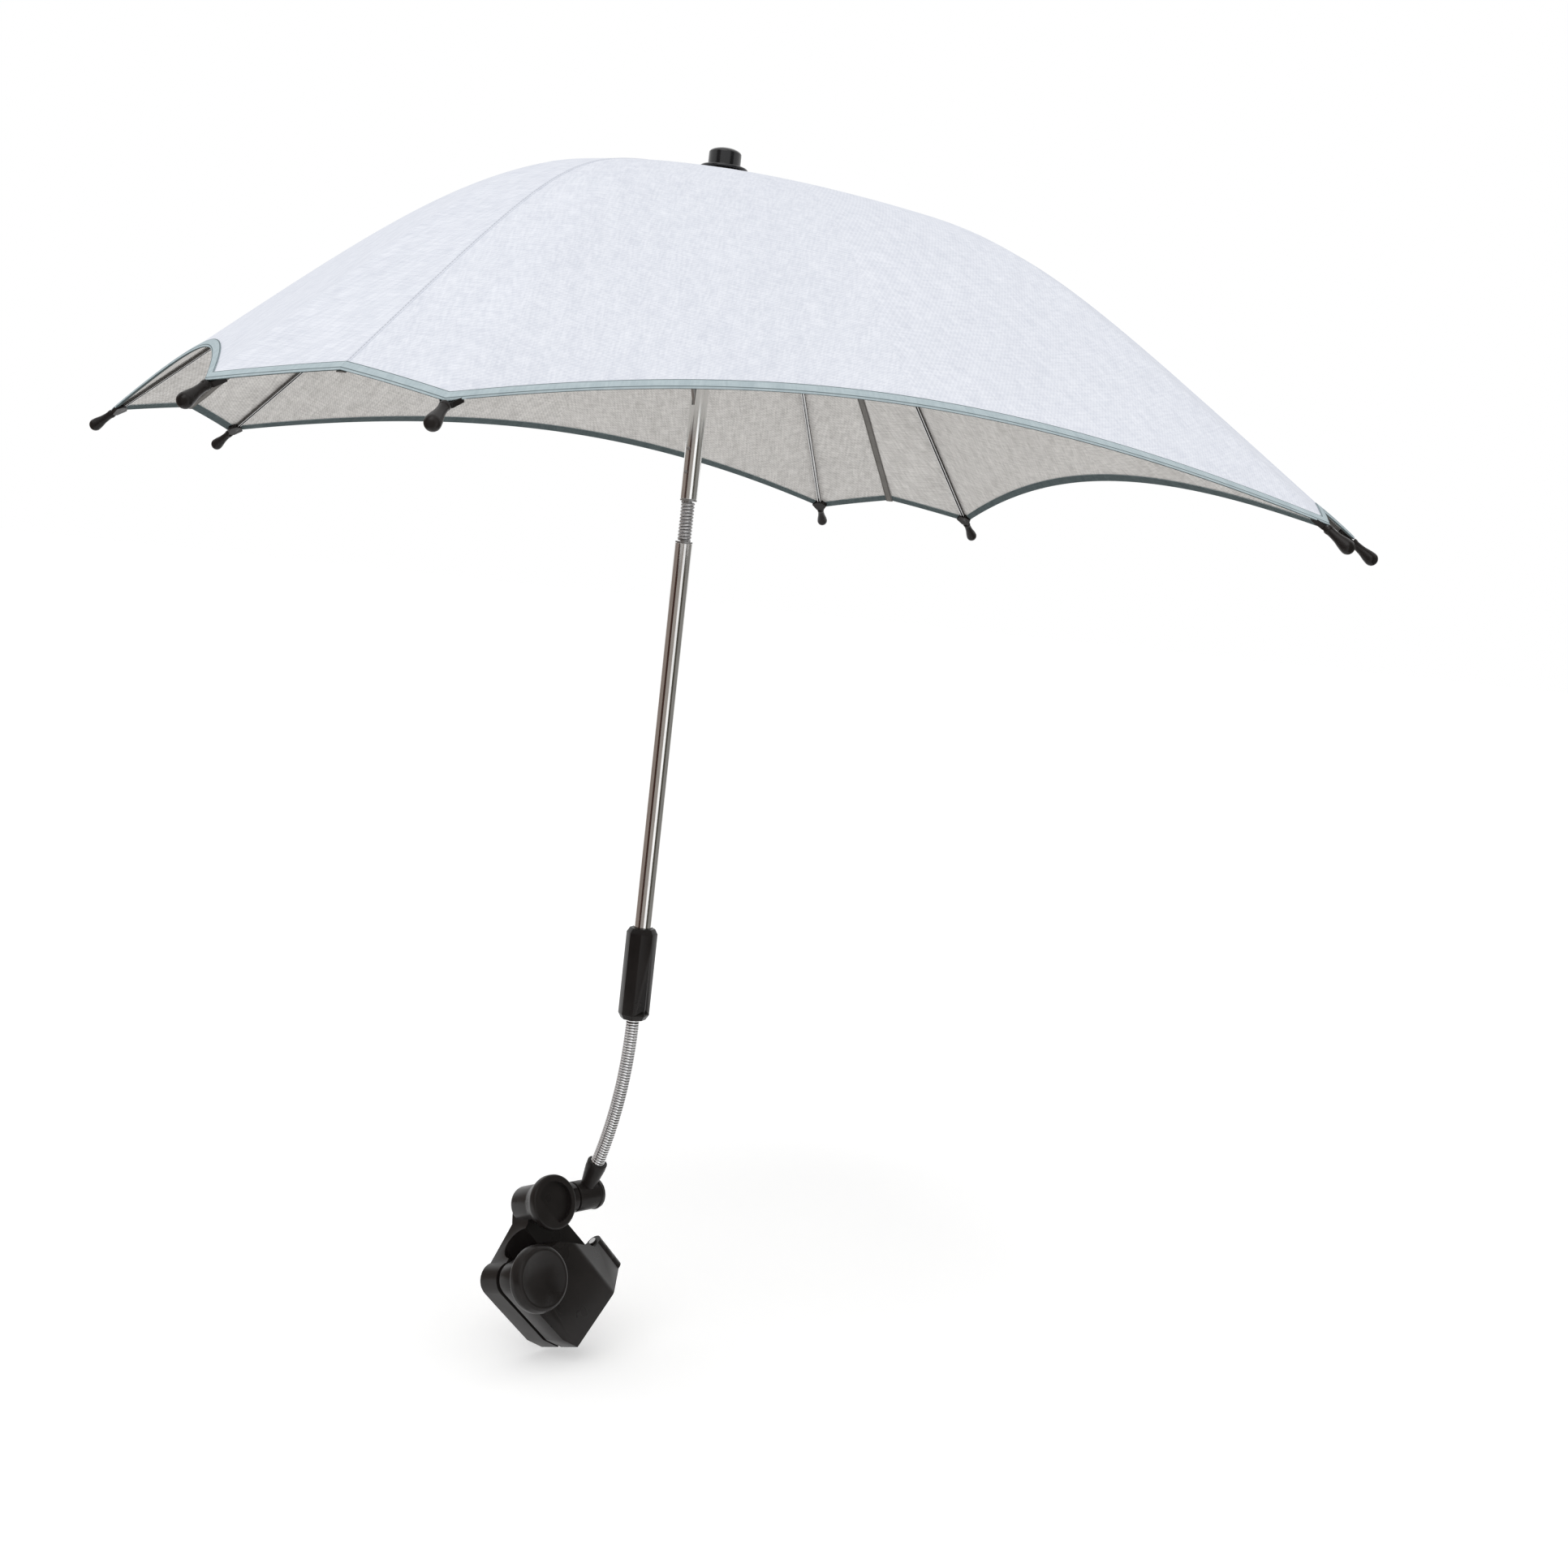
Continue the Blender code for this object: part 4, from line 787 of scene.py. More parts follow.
def bump(bench: Bench, shader: Node, height: Socket, depth: float, strength: float) -> None:
    """Raises a relief on a shader.

    Args:
        bench: The material's bench.
        shader: Its shader.
        height: The relief from 0 to 1.
        depth: What 1 means, in metres.
        strength: How strongly it shows.
    """
    node = bench.tree.nodes.new("ShaderNodeBump")
    settle(node, {"Strength": strength, "Distance": depth})
    bench.link(height, node.inputs["Height"])
    bench.link(node.outputs[0], shader.inputs["Normal"])


def seen_by(bench: Bench, *rays: str) -> Socket:
    """Tells whether a ray of one of some kinds meets a surface.

    Args:
        bench: The bench of the material or the world.
        *rays: The kinds, as the Light Path node names them.

    Returns:
        The result's socket.
    """
    path = bench.tree.nodes.new("ShaderNodeLightPath")
    seen = path.outputs[rays[0]]
    for ray in rays[1:]:
        seen = bench.maths("MAXIMUM", seen, path.outputs[ray])
    return seen


@dataclass(frozen=True)
class Moulded:
    """Moulded plastic or rubber."""

    name: str
    colour: Triple
    worn: Triple
    roughness: float
    grain: float = 1400.0
    relief: float = 0.16
    scuffs: float = 0.35
    coat: float = 0.0
    coat_roughness: float = 0.08
    specular: float = 0.2
    depth: float = 0.00004

    def made(self) -> Material:
        """Builds the material."""
        material, bench, shader = start_material(self.name)
        place = bench.own_place()
        grain = bench.group(Effects.grain, Vector=place, Scale=self.grain)
        scuffs = bench.group(Effects.scuffs, Vector=place, Amount=self.scuffs)
        tone, mask = grain.outputs["Tone"], scuffs.outputs["Mask"]
        worn = bench.plus(bench.times(tone, 0.35), mask)
        bench.link(bench.tint(worn, self.colour, self.worn), shader.inputs["Base Color"])
        rough = bench.span(tone, 0, 1, self.roughness - 0.04, self.roughness + 0.06)
        bench.link(bench.plus(rough, bench.times(mask, 0.2)), shader.inputs["Roughness"])
        settle(shader, {"Specular IOR Level": self.specular})
        settle(shader, {"Coat Weight": self.coat, "Coat Roughness": self.coat_roughness})
        bump(bench, shader, grain.outputs["Height"], self.depth, self.relief)
        return material


@dataclass(frozen=True)
class Metal:
    """Bright or satin metal."""

    name: str
    colour: Triple
    dull_and_shade: Triple
    roughness: float
    haze: float = 0.08
    drawn: float = 0.12
    scuffs: float = 0.4
    depth: float = 0.00001

    def made(self) -> Material:
        """Builds the material."""
        material, bench, shader = start_material(self.name)
        place = bench.own_place()
        metal = bench.group(Effects.metal, Vector=place)
        scuffs = bench.group(Effects.scuffs, Vector=place, Amount=self.scuffs)
        haze = bench.span(metal.outputs["Haze"], 0.35, 0.75)
        colour = bench.tint(bench.times(haze, 0.6), self.colour, self.dull_and_shade)
        bench.link(colour, shader.inputs["Base Color"])
        rough = bench.plus(bench.times(haze, self.haze), self.roughness)
        rough = bench.plus(rough, bench.times(scuffs.outputs["Mask"], 0.15))
        bench.link(rough, shader.inputs["Roughness"])
        settle(shader, {"Metallic": 1.0})
        bump(bench, shader, metal.outputs["Lines"], self.depth, self.drawn)
        return material


@dataclass(frozen=True)
class Woven:
    """Woven cloth, with optional stitch rows."""

    name: str
    colour: Triple
    fleck: Triple
    thread: float
    relief: float
    contrast: float = 0.5
    rows: tuple[float, ...] = ()
    stitch: Triple = (0.5, 0.5, 0.5)
    lines: tuple[float, ...] = ()
    line: Triple = (0.1, 0.1, 0.1)
    pitch: float = 0.003
    depth: float = 0.03

    def made(self) -> Material:
        """Builds the material on the piece's own cloth coordinates."""
        material, bench, shader = start_material(self.name)
        cloth = bench.tree.nodes.new("ShaderNodeUVMap")
        cloth.uv_map = "cloth"
        place = cloth.outputs[0]
        weave = bench.group(Effects.weave, Vector=place, Thread=self.thread)
        tone, height = weave.outputs["Tone"], weave.outputs["Height"]
        broad = bench.span(bench.noise(place, 9.0, 3.0), 0.3, 0.7, -0.07, 0.07)
        patch = bench.noise(bench.scaled(place, (90, 30, 1), 0.6), 1.0, 3.0, 0.6)
        mottle = bench.plus(broad, bench.span(patch, 0.3, 0.7, -0.12, 0.12))
        shade = bench.plus(bench.times(tone, self.contrast), mottle)
        colour = bench.tint(shade, self.colour, self.fleck)
        for row in self.rows:
            sewn = bench.group(Effects.stitches, Vector=place, Pitch=self.pitch, Row=row)
            colour = bench.blend(sewn.outputs["Mask"], colour, (*self.stitch, 1))
            height = bench.plus(height, bench.times(sewn.outputs["Mask"], 1.5))
        for row in self.lines:
            drawn = bench.group(Effects.stitches, Vector=place, Pitch=self.pitch, Row=row)
            colour = bench.blend(drawn.outputs["Line"], colour, (*self.line, 1))
        bench.link(colour, shader.inputs["Base Color"])
        bench.link(bench.span(tone, 0, 1, 0.72, 0.9), shader.inputs["Roughness"])
        settle(shader, {"Specular IOR Level": 0.0})
        bump(bench, shader, height, self.thread * self.depth, self.relief)
        return material


class Finishes:
    """Every finish of the parasol, made once, with dark copies of the steel and the binding cloth
    as painted shade.
    """

    black = Moulded("black_plastic", (0.0105, 0.0088, 0.0082), (0.026, 0.022, 0.0205), 0.3).made()
    gloss = Moulded(
        "gloss_black",
        (0.008, 0.008, 0.009),
        (0.02, 0.02, 0.021),
        0.2,
        relief=0.05,
        scuffs=0.2,
        coat=0.25,
        specular=0.3,
    ).made()
    rubber = Moulded(
        "liner_rubber", (0.02, 0.02, 0.02), (0.05, 0.048, 0.046), 0.7, grain=900.0, relief=0.4
    ).made()
    chrome = Metal("chrome_tube", (0.83, 0.82, 0.81), (0.7, 0.69, 0.69), 0.07).made()
    pale = Metal("pale_tube", (0.86, 0.86, 0.85), (0.76, 0.77, 0.77), 0.13).made()
    spring = Metal("spring_steel", (0.66, 0.66, 0.67), (0.5, 0.5, 0.51), 0.3, 0.12).made()
    neck = Metal("neck_chrome", (0.84, 0.84, 0.85), (0.7, 0.7, 0.72), 0.13).made()
    rib = Metal("rib_steel", (0.72, 0.72, 0.72), (0.55, 0.55, 0.55), 0.32, 0.12, 0.02).made()
    # Painted shade: dark steel for the ribs' sides and the neck's grooves, standing in for the
    # shade that falls there
    painted_shade_steel = Metal("painted_shade_steel", (0.16, 0.155, 0.15), (0.1, 0.098, 0.095), 0.4, 0.12, 0.02).made()
    fitting = Metal("steel_fitting", (0.5, 0.5, 0.5), (0.36, 0.36, 0.37), 0.3, 0.14, 0.02).made()
    outside = Woven(
        "canopy_outside", (0.66, 0.685, 0.755), (0.84, 0.86, 0.915), 0.0016, 0.4, 0.9
    ).made()
    underside = Woven(
        "canopy_underside", (0.5, 0.485, 0.465), (0.82, 0.8, 0.775), 0.0016, 0.3, 0.95
    ).made()
    binding = Woven(
        "binding_cloth",
        (0.4, 0.475, 0.505),
        (0.6, 0.685, 0.71),
        0.0007,
        0.4,
        lines=(0.0004, 0.0068),
        line=(0.16, 0.195, 0.205),
    ).made()
    # Painted shade: a dark copy of the binding cloth for its faces that turn down
    binding_painted_shade = Woven(
        "binding_painted_shade", (0.085, 0.107, 0.11), (0.15, 0.18, 0.185), 0.0007, 0.4
    ).made()
    tape = Woven(
        "seam_tape",
        (0.17, 0.162, 0.152),
        (0.27, 0.26, 0.245),
        0.0006,
        0.3,
        lines=(0.0007, 0.0058),
        line=(0.11, 0.104, 0.097),
    ).made()
    seam = Woven(
        "sewn_seam",
        (0.64, 0.665, 0.735),
        (0.82, 0.84, 0.895),
        0.0016,
        0.4,
        rows=(0.0016,),
        stitch=(0.46, 0.48, 0.53),
    ).made()


def painted(obj: Piece, material: Material) -> None:
    """Gives a piece one material."""
    obj.data.materials.clear()
    obj.data.materials.append(material)


def fitted(
    obj: Piece,
    body: str,
    slot: str,
    material: Material,
    *nodes: str,
    angle: float = 35.0,
) -> Piece:
    """Finishes a rigid piece: smooth, painted, on its body and in place of its nodes.

    Args:
        obj: The piece.
        body: The body that it rides on.
        slot: Not used.
        material: Its material.
        *nodes: The CAD nodes that it stands for.
        angle: Sharpest turn that is shaded smooth, in degrees.

    Returns:
        The same piece.
    """
    smooth(obj, angle)
    painted(obj, material)
    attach(obj, body)
    if nodes:
        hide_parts(*nodes)
    return obj


def refaced(node: str, body: str, slot: str, material: Material, edge: float = 0.0) -> None:
    """Shows a CAD node as a merged copy with smooth faces.

    Args:
        node: The CAD node.
        body: Its body.
        slot: The record's material slot.
        material: Its material.
        edge: Width of the rounding on its edges, 0 for none.
    """
    obj = merged_copy(node, node + "_piece")
    if edge:
        soften(obj, edge)
    fitted(obj, body, slot, material, node)


def steel(body: str, *nodes: str) -> None:
    """Shows a body's small steel nodes as merged copies with smooth faces."""
    for node in nodes:
        refaced(node, body, "steel_fitting", Finishes.fitting)


# Clamp


@dataclass
class Clamp:
    """The black clamp: two hinged jaws, the lobe and the hand knob."""

    seat_radius: float = 0.0143
    jaw_wall: float = 0.008
    half_length: float = 0.035
    parting: float = 0.002
    lip: float = -0.040
    shoulder: float = 0.026
    nose: float = 0.0066
    fillet: float = 0.003
    lip_cut_t: float = 0.015
    lip_cut_low: float = 0.004
    lip_cut_high: float = 0.010
    seat_shoulder: float = 0.002
    arm_inset: float = 0.005
    hinge_u: float = 0.054
    hinge_radius: float = 0.007
    hinge_pin_radius: float = 0.002
    hinge_start: float = 0.0044
    edge: float = 0.001
    bolt: Pair = (-0.037, -0.025)
    ear_radius: float = 0.014
    lobe_backset: float = 0.045
    lobe_radius: float = 0.022
    lobe_front: float = 0.022
    lobe_rear: float = 0.018
    lobe_rim: float = 0.0055
    lobe_root: float = 0.0145
    lobe_step: float = 0.0015
    lobe_cup: float = 0.018
    lobe_slope: Pair = (0.009, 0.006)
    lobe_ease: float = 0.0022
    recess_depth: float = 0.0042
    recess_drop: float = 0.009
    recess_ease: float = 0.002
    boss_radius: float = 0.0125
    boss_face: float = 0.0146
    rounding: float = 0.0009
    stud_hole: float = 0.0036
    jaw_hole: float = 0.0042
    nut_radius: float = 0.00612
    nut_depth: float = 0.0053
    pivot_hole: float = 0.0033
    pivot_run: float = 0.022
    knob_standoff: float = 0.001
    knob_height: float = 0.0165
    knob_boss: float = 0.012
    knob_bore: Pair = (0.0033, 0.0069)
    knob_rim: tuple[Pair, ...] = (
        (0.0244, 0.004),
        (0.0265, 0.0069),
        (0.0265, 0.0109),
        (0.0245, 0.0155),
        (0.0225, 0.0165),
    )
    knob_foot: float = 0.0026
    knob_ease: float = 0.0012
    dish_radius: float = 0.0215
    dish_depth: float = 0.006
    dish_step: float = 0.0002

    @property
    def outer(self) -> float:
        """Half the clamp's thickness."""
        return self.seat_radius + self.jaw_wall

    @property
    def lobe(self) -> Pair:
        """Middle of the lobe in the clamp's own frame."""
        along = LAYOUT.clamp.inverted().to_3x3() @ LAYOUT.side
        head_t, head_u, _ = LAYOUT.head_at
        return head_t - along.x * self.lobe_backset, head_u - along.y * self.lobe_backset

    def hinge_spans(self) -> list[Pair]:
        """Start and end of the three hinge lugs: body, jaw, body."""
        step = (self.half_length + GAP - self.hinge_start) / 3
        starts = [self.hinge_start + i * step for i in range(3)]
        return [(low, low + step - GAP) for low in starts]

    def section(self, jaw: Jaw) -> list[Pair]:
        """A jaw's outline across the frame tube."""
        side = jaw.value
        corners = [
            (self.lip, side * self.parting),
            (self.hinge_u, side * self.parting),
            (self.hinge_u, side * self.nose),
            (self.shoulder, side * self.outer),
            (self.lip, side * self.outer),
        ]
        return eased(corners, self.fillet, 5)

    def plan(self, jaw: Jaw) -> list[Pair]:
        """A jaw's outline seen from the knob."""
        right, back = self.half_length, self.hinge_u - self.hinge_radius
        corners = [
            (right, self.lip + self.lip_cut_high),
            (right, self.hinge_u),
            (self.hinge_start, self.hinge_u),
            (self.hinge_start, back + self.edge),
        ]
        if jaw is Jaw.FRONT:
            corners.append((-right, self.seat_radius + self.seat_shoulder))
        else:
            lobe_t, lobe_u = self.lobe
            reach = self.lobe_radius
            corners += [
                (-right + self.arm_inset, back),
                (lobe_t, lobe_u + reach * 0.6),
                (lobe_t - reach * 0.5, lobe_u),
                (lobe_t + reach * 0.2, lobe_u - reach * 0.8),
            ]
        ear = arc(self.bolt, self.ear_radius, math.radians(150), math.radians(270), 16)
        return corners + ear + [(right - self.lip_cut_t, self.lip + self.lip_cut_low)]

    def block(self, name: str, jaw: Jaw) -> Piece:
        """A jaw as its section run along the tube, trimmed to its plan, with the seat cut."""
        clamp = LAYOUT.clamp
        along = axes(clamp.col[1].to_3d(), clamp.col[2].to_3d(), clamp.col[0].to_3d(), Vector())
        block = slab(name, self.section(jaw), -REACH, REACH, along)
        seat = rod("seat", self.seat_radius, -REACH, REACH, LAYOUT.seat_frame(), 96)
        combine(block, slab("plan", self.plan(jaw), -REACH, REACH, clamp), Join.KEEP)
        combine(block, seat, Join.CUT)
        return block

    def hinged(self, block: Piece, own: list[Pair], other: list[Pair]) -> None:
        """Adds a jaw's own hinge lugs, clears the other jaw's and bores the pin hole.

        Args:
            block: The jaw.
            own: Spans of its own lugs.
            other: Spans of the other jaw's lugs.
        """
        place = LAYOUT.seat_frame(0, self.hinge_u, 0)
        radius = self.hinge_radius
        for low, high in other:
            combine(block, rod("clear", radius + GAP, low - GAP, high + GAP, place), Join.CUT)
        for low, high in own:
            combine(block, rod("lug", radius, low, high, place), Join.ADD)
        bore = self.hinge_pin_radius + GAP
        combine(block, rod("pin hole", bore, -REACH, REACH, place, 32), Join.CUT)

    def lobe_disc(self) -> Piece:
        """The round lobe, with its D-shaped pocket."""
        lobe_t, lobe_u = self.lobe
        place = LAYOUT.in_clamp(lobe_t, lobe_u)
        radius, root = self.lobe_radius, self.lobe_root
        front, step = self.lobe_front, self.lobe_step
        profile = [
            (0, -self.lobe_rear),
            (root, -self.lobe_rear),
            (root + step, front - self.lobe_cup),
            (radius - step, front - self.lobe_slope[0]),
            (radius, front - self.lobe_slope[1]),
            (radius, front),
            (0, front),
        ]
        return turned("lobe", profile, place, 96, self.lobe_ease)

    def recess(self) -> Piece:
        """The pocket cut from the lobe's face, flat on its lower left."""
        lobe_t, lobe_u = self.lobe
        radius = self.lobe_radius - self.lobe_rim
        dip = math.asin(self.recess_drop / radius)
        outline = arc((lobe_t, lobe_u), radius, -dip, math.pi + dip, 48)
        outline = eased(outline, self.recess_ease)
        floor = self.lobe_front - self.recess_depth
        return slab("recess", outline, floor, REACH, LAYOUT.clamp)

    def build_body(self) -> None:
        """Rear jaw, arm, lobe and the boss that the swivel turns against."""
        spans = self.hinge_spans()
        body = self.block("clamp_rear_jaw", Jaw.REAR)
        combine(body, self.lobe_disc(), Join.ADD)
        pivot, face = LAYOUT.pivot_frame, self.boss_face
        combine(body, rod("boss", self.boss_radius, -self.lobe_backset, -face, pivot), Join.ADD)
        combine(body, self.recess(), Join.CUT)
        self.hinged(body, [spans[0], spans[2]], [spans[1]])
        bolt = LAYOUT.in_clamp(*self.bolt)
        for hole in (
            rod("stud hole", self.stud_hole, -REACH, REACH, bolt, 32),
            rod("nut pocket", self.nut_radius, -REACH, -self.outer + self.nut_depth, bolt, 6),
            rod("pivot hole", self.pivot_hole, -face - self.pivot_run, 0, pivot, 32),
        ):
            combine(body, hole, Join.CUT)
        soften(body, self.rounding)
        fitted(body, "clamp", "black_plastic", Finishes.black, "clamp_body")

    def build_jaw(self) -> None:
        """Front jaw, which swings on the hinge pin."""
        spans = self.hinge_spans()
        jaw = self.block("clamp_front_jaw", Jaw.FRONT)
        self.hinged(jaw, [spans[1]], [spans[0], spans[2]])
        bolt = LAYOUT.in_clamp(*self.bolt)
        combine(jaw, rod("stud hole", self.jaw_hole, -REACH, REACH, bolt, 32), Join.CUT)
        soften(jaw, self.rounding)
        fitted(jaw, "jaw", "black_plastic", Finishes.black, "clamp_jaw")

    def build_knob(self) -> None:
        """Round knob with a dished face."""
        place = LAYOUT.in_clamp(*self.bolt, self.outer + self.knob_standoff + 2 * GAP)
        top, boss, (bore, depth) = self.knob_height, self.knob_boss, self.knob_bore
        profile = [(0, depth), (bore, depth), (bore, 0), (boss, 0), (boss, self.knob_foot)]
        profile += [*self.knob_rim, (self.dish_radius, top)]
        profile = eased(profile, self.knob_ease, 4)[:-2]
        steps = 24
        for i in range(steps + 1):
            spot = (self.dish_radius - self.dish_step) * (1 - i / steps)
            profile.append((spot, top - self.dish_depth * (1 - (spot / self.dish_radius) ** 2)))
        knob = turned("hand_knob", profile, place, 96)
        fitted(knob, "knob", "black_plastic", Finishes.black, "clamp_knob")

    def build(self) -> None:
        """Builds the jaws and the knob and dresses the small pieces."""
        self.build_body()
        self.build_jaw()
        self.build_knob()
        for node, body in (("rear_liner", "clamp"), ("front_liner", "jaw")):
            refaced(node, body, "liner_rubber", Finishes.rubber)
        steel("clamp", "hinge_pin", "clamp_nut", "pivot_washer")
        steel("screw_washer", "thrust_washer")
        steel("knob", "knob_stud")


# Swivel head, neck and sleeve


@dataclass
class SwivelHead:
    """The knuckle, its bolt and the ribbed neck."""

    barrel_radius: float = 0.0125
    barrel_half: float = 0.013
    band_low: float = 0.0078
    band_high: float = 0.011
    band_height: float = 0.0007
    bore: float = 0.0033
    head_recess: float = 0.0055
    recess_depth: float = 0.0021
    socket_top: float = 0.034
    socket_top_radius: float = 0.0083
    socket_root_radius: float = 0.0064
    socket_band: float = 0.006
    socket_depth: float = 0.015
    neck_radius: float = 0.0057
    groove_radius: float = 0.0049
    neck_bore: float = 0.0028
    rib_pitch: float = 0.0023
    rib_foot: float = 0.0003
    rib_brow: float = 0.0002
    in_sleeve: float = 0.016
    barrel_ease: float = 0.0009
    socket_ease: float = 0.0008

    def build_knuckle(self) -> None:
        """Barrel that turns on the pivot, with the tapered socket for the neck."""
        half, radius, band = self.barrel_half, self.barrel_radius, self.band_height
        barrel_outline = [
            (self.bore, -half),
            (radius, -half),
            (radius, self.band_low),
            (radius + band, self.band_low + band),
            (radius + band, self.band_high - band),
            (radius, self.band_high),
            (radius, half),
            (self.head_recess, half),
            (self.head_recess, half - self.recess_depth),
            (self.bore, half - self.recess_depth),
        ]
        place = LAYOUT.pivot_frame
        barrel = turned("knuckle_body", barrel_outline, place, 96, self.barrel_ease)
        root = (self.bore + radius) / 2
        inside = self.neck_radius + GAP
        socket_outline = [
            (0, root),
            (self.socket_root_radius, root),
            (self.socket_root_radius, radius),
            (self.socket_top_radius, self.socket_top - self.socket_band),
            (self.socket_top_radius, self.socket_top),
            (inside, self.socket_top),
            (inside, self.socket_top - self.socket_depth),
            (0, self.socket_top - self.socket_depth),
        ]
        socket = turned("socket", socket_outline, LAYOUT.head_frame, 96, self.socket_ease)
        combine(barrel, socket, Join.ADD)
        fitted(barrel, "swivel_head", "black_plastic", Finishes.black, "knuckle")

    def neck_outline(self) -> list[Pair]:
        """Section of the straight neck: ribs outside and a plain bore, by way down from its top."""
        start = -self.in_sleeve
        length = self.in_sleeve + LAYOUT.neck_arc + self.socket_depth - GAP
        ribs = round(length / self.rib_pitch)
        pitch = length / ribs
        foot, brow = self.groove_radius + self.rib_foot, self.neck_radius - self.rib_brow
        wave = [
            (self.groove_radius, 0.0),
            (foot, 0.1),
            (brow, 0.24),
            (self.neck_radius, 0.42),
            (self.neck_radius, 0.52),
            (brow, 0.7),
            (foot, 0.84),
        ]
        outline: list[Pair] = []
        for i in range(ribs):
            outline += [(radius, start + (i + share) * pitch) for radius, share in wave]
        outline.append((self.groove_radius, start + ribs * pitch))
        return outline + [(self.neck_bore, start + i * pitch) for i in reversed(range(ribs + 1))]

    def build_neck(self) -> None:
        """The ribbed neck, turned straight, bent along its arc, with painted shade in its grooves.
        """
        neck = turned("bendable_neck", self.neck_outline(), Matrix.Identity(4), 40)
        vertices = neck.data.vertices
        # Faces deep in the grooves are marked for painted shade in the dark steel
        dull_and_shade: list[int] = []
        for polygon in neck.data.polygons:
            spots = [vertices[i].co for i in polygon.vertices]
            middle = sum(spots, Vector()) / len(spots)
            dull_and_shade.append(int(math.hypot(middle.x, middle.y) < self.groove_radius + self.rib_foot))
        side, radius = LAYOUT.side, LAYOUT.neck_radius
        for vertex in vertices:
            x, y, distance = vertex.co
            turn = min(max(distance, 0.0), LAYOUT.neck_arc) / radius
            down = LAYOUT.back * math.sin(turn) - UP * math.cos(turn)
            shift = LAYOUT.back * (1 - math.cos(turn)) - UP * math.sin(turn)
            point = LAYOUT.pole_foot + shift * radius
            spare = distance - turn * radius
            vertex.co = point + down * spare + side * x + down.cross(side) * y
        open_mesh(neck)
        close_outward()
        smooth(neck, 60)
        painted(neck, Finishes.neck)
        # Second material: dark steel as painted shade in the grooves
        neck.data.materials.append(Finishes.painted_shade_steel)
        for polygon, index in zip(neck.data.polygons, dull_and_shade):
            polygon.material_index = index
        LAYOUT.neck_foot
        LAYOUT.pole_foot
        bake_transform(neck)
        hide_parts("neck")

    def build(self) -> None:
        """Builds the knuckle and the neck and dresses the bolt."""
        self.build_knuckle()
        self.build_neck()
        steel("clamp", "pivot_bolt")


@dataclass
class GripSleeve:
    """The eight-sided black sleeve between the neck and the pole."""

    flat_radius: float = 0.0115
    chamfer: float = 0.004
    chamfer_in: float = 0.0024
    neck_bore: float = 0.006
    tube_bore: float = 0.0073
    neck_floor: float = 0.0163
    tube_floor: float = 0.020
    screw_hole: float = 0.0023
    edge: float = 0.0011

    def build(self) -> None:
        """Builds the sleeve with its bores, and dresses its screw."""
        corner = self.flat_radius / math.cos(math.pi / 8)
        small = corner - self.chamfer_in
        top, pole = LAYOUT.sleeve_length, LAYOUT.pole
        outline = [
            (0, 0),
            (small, 0),
            (corner, self.chamfer),
            (corner, top - self.chamfer),
            (small, top),
            (0, top),
        ]
        sleeve = turned("grip_sleeve_body", outline, pole @ Matrix.Rotation(math.pi / 8, 4, "Z"), 8)
        screw = screw_place("sleeve_screw")
        for hole in (
            rod("neck bore", self.neck_bore, -REACH, self.neck_floor, pole),
            rod("tube bore", self.tube_bore, self.tube_floor, REACH, pole),
            rod("screw hole", self.screw_hole, 0, REACH, screw, 24),
        ):
            combine(sleeve, hole, Join.CUT)
        soften(sleeve, self.edge, 20.0, 3)
        fitted(sleeve, "sleeve", "black_plastic", Finishes.black, "grip_sleeve", angle=25)
        steel("sleeve", "sleeve_screw")


def screw_place(node: str) -> Matrix:
    """z out from the pole's axis to the middle of a screw's CAD node."""
    low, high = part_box(node)
    middle = (low + high) / 2
    axis = Vector((LAYOUT.pole_foot.x, LAYOUT.pole_foot.y, middle.z))
    out = (middle - axis).normalized()
    return axes(UP.cross(out), UP, out, axis)


# Pole


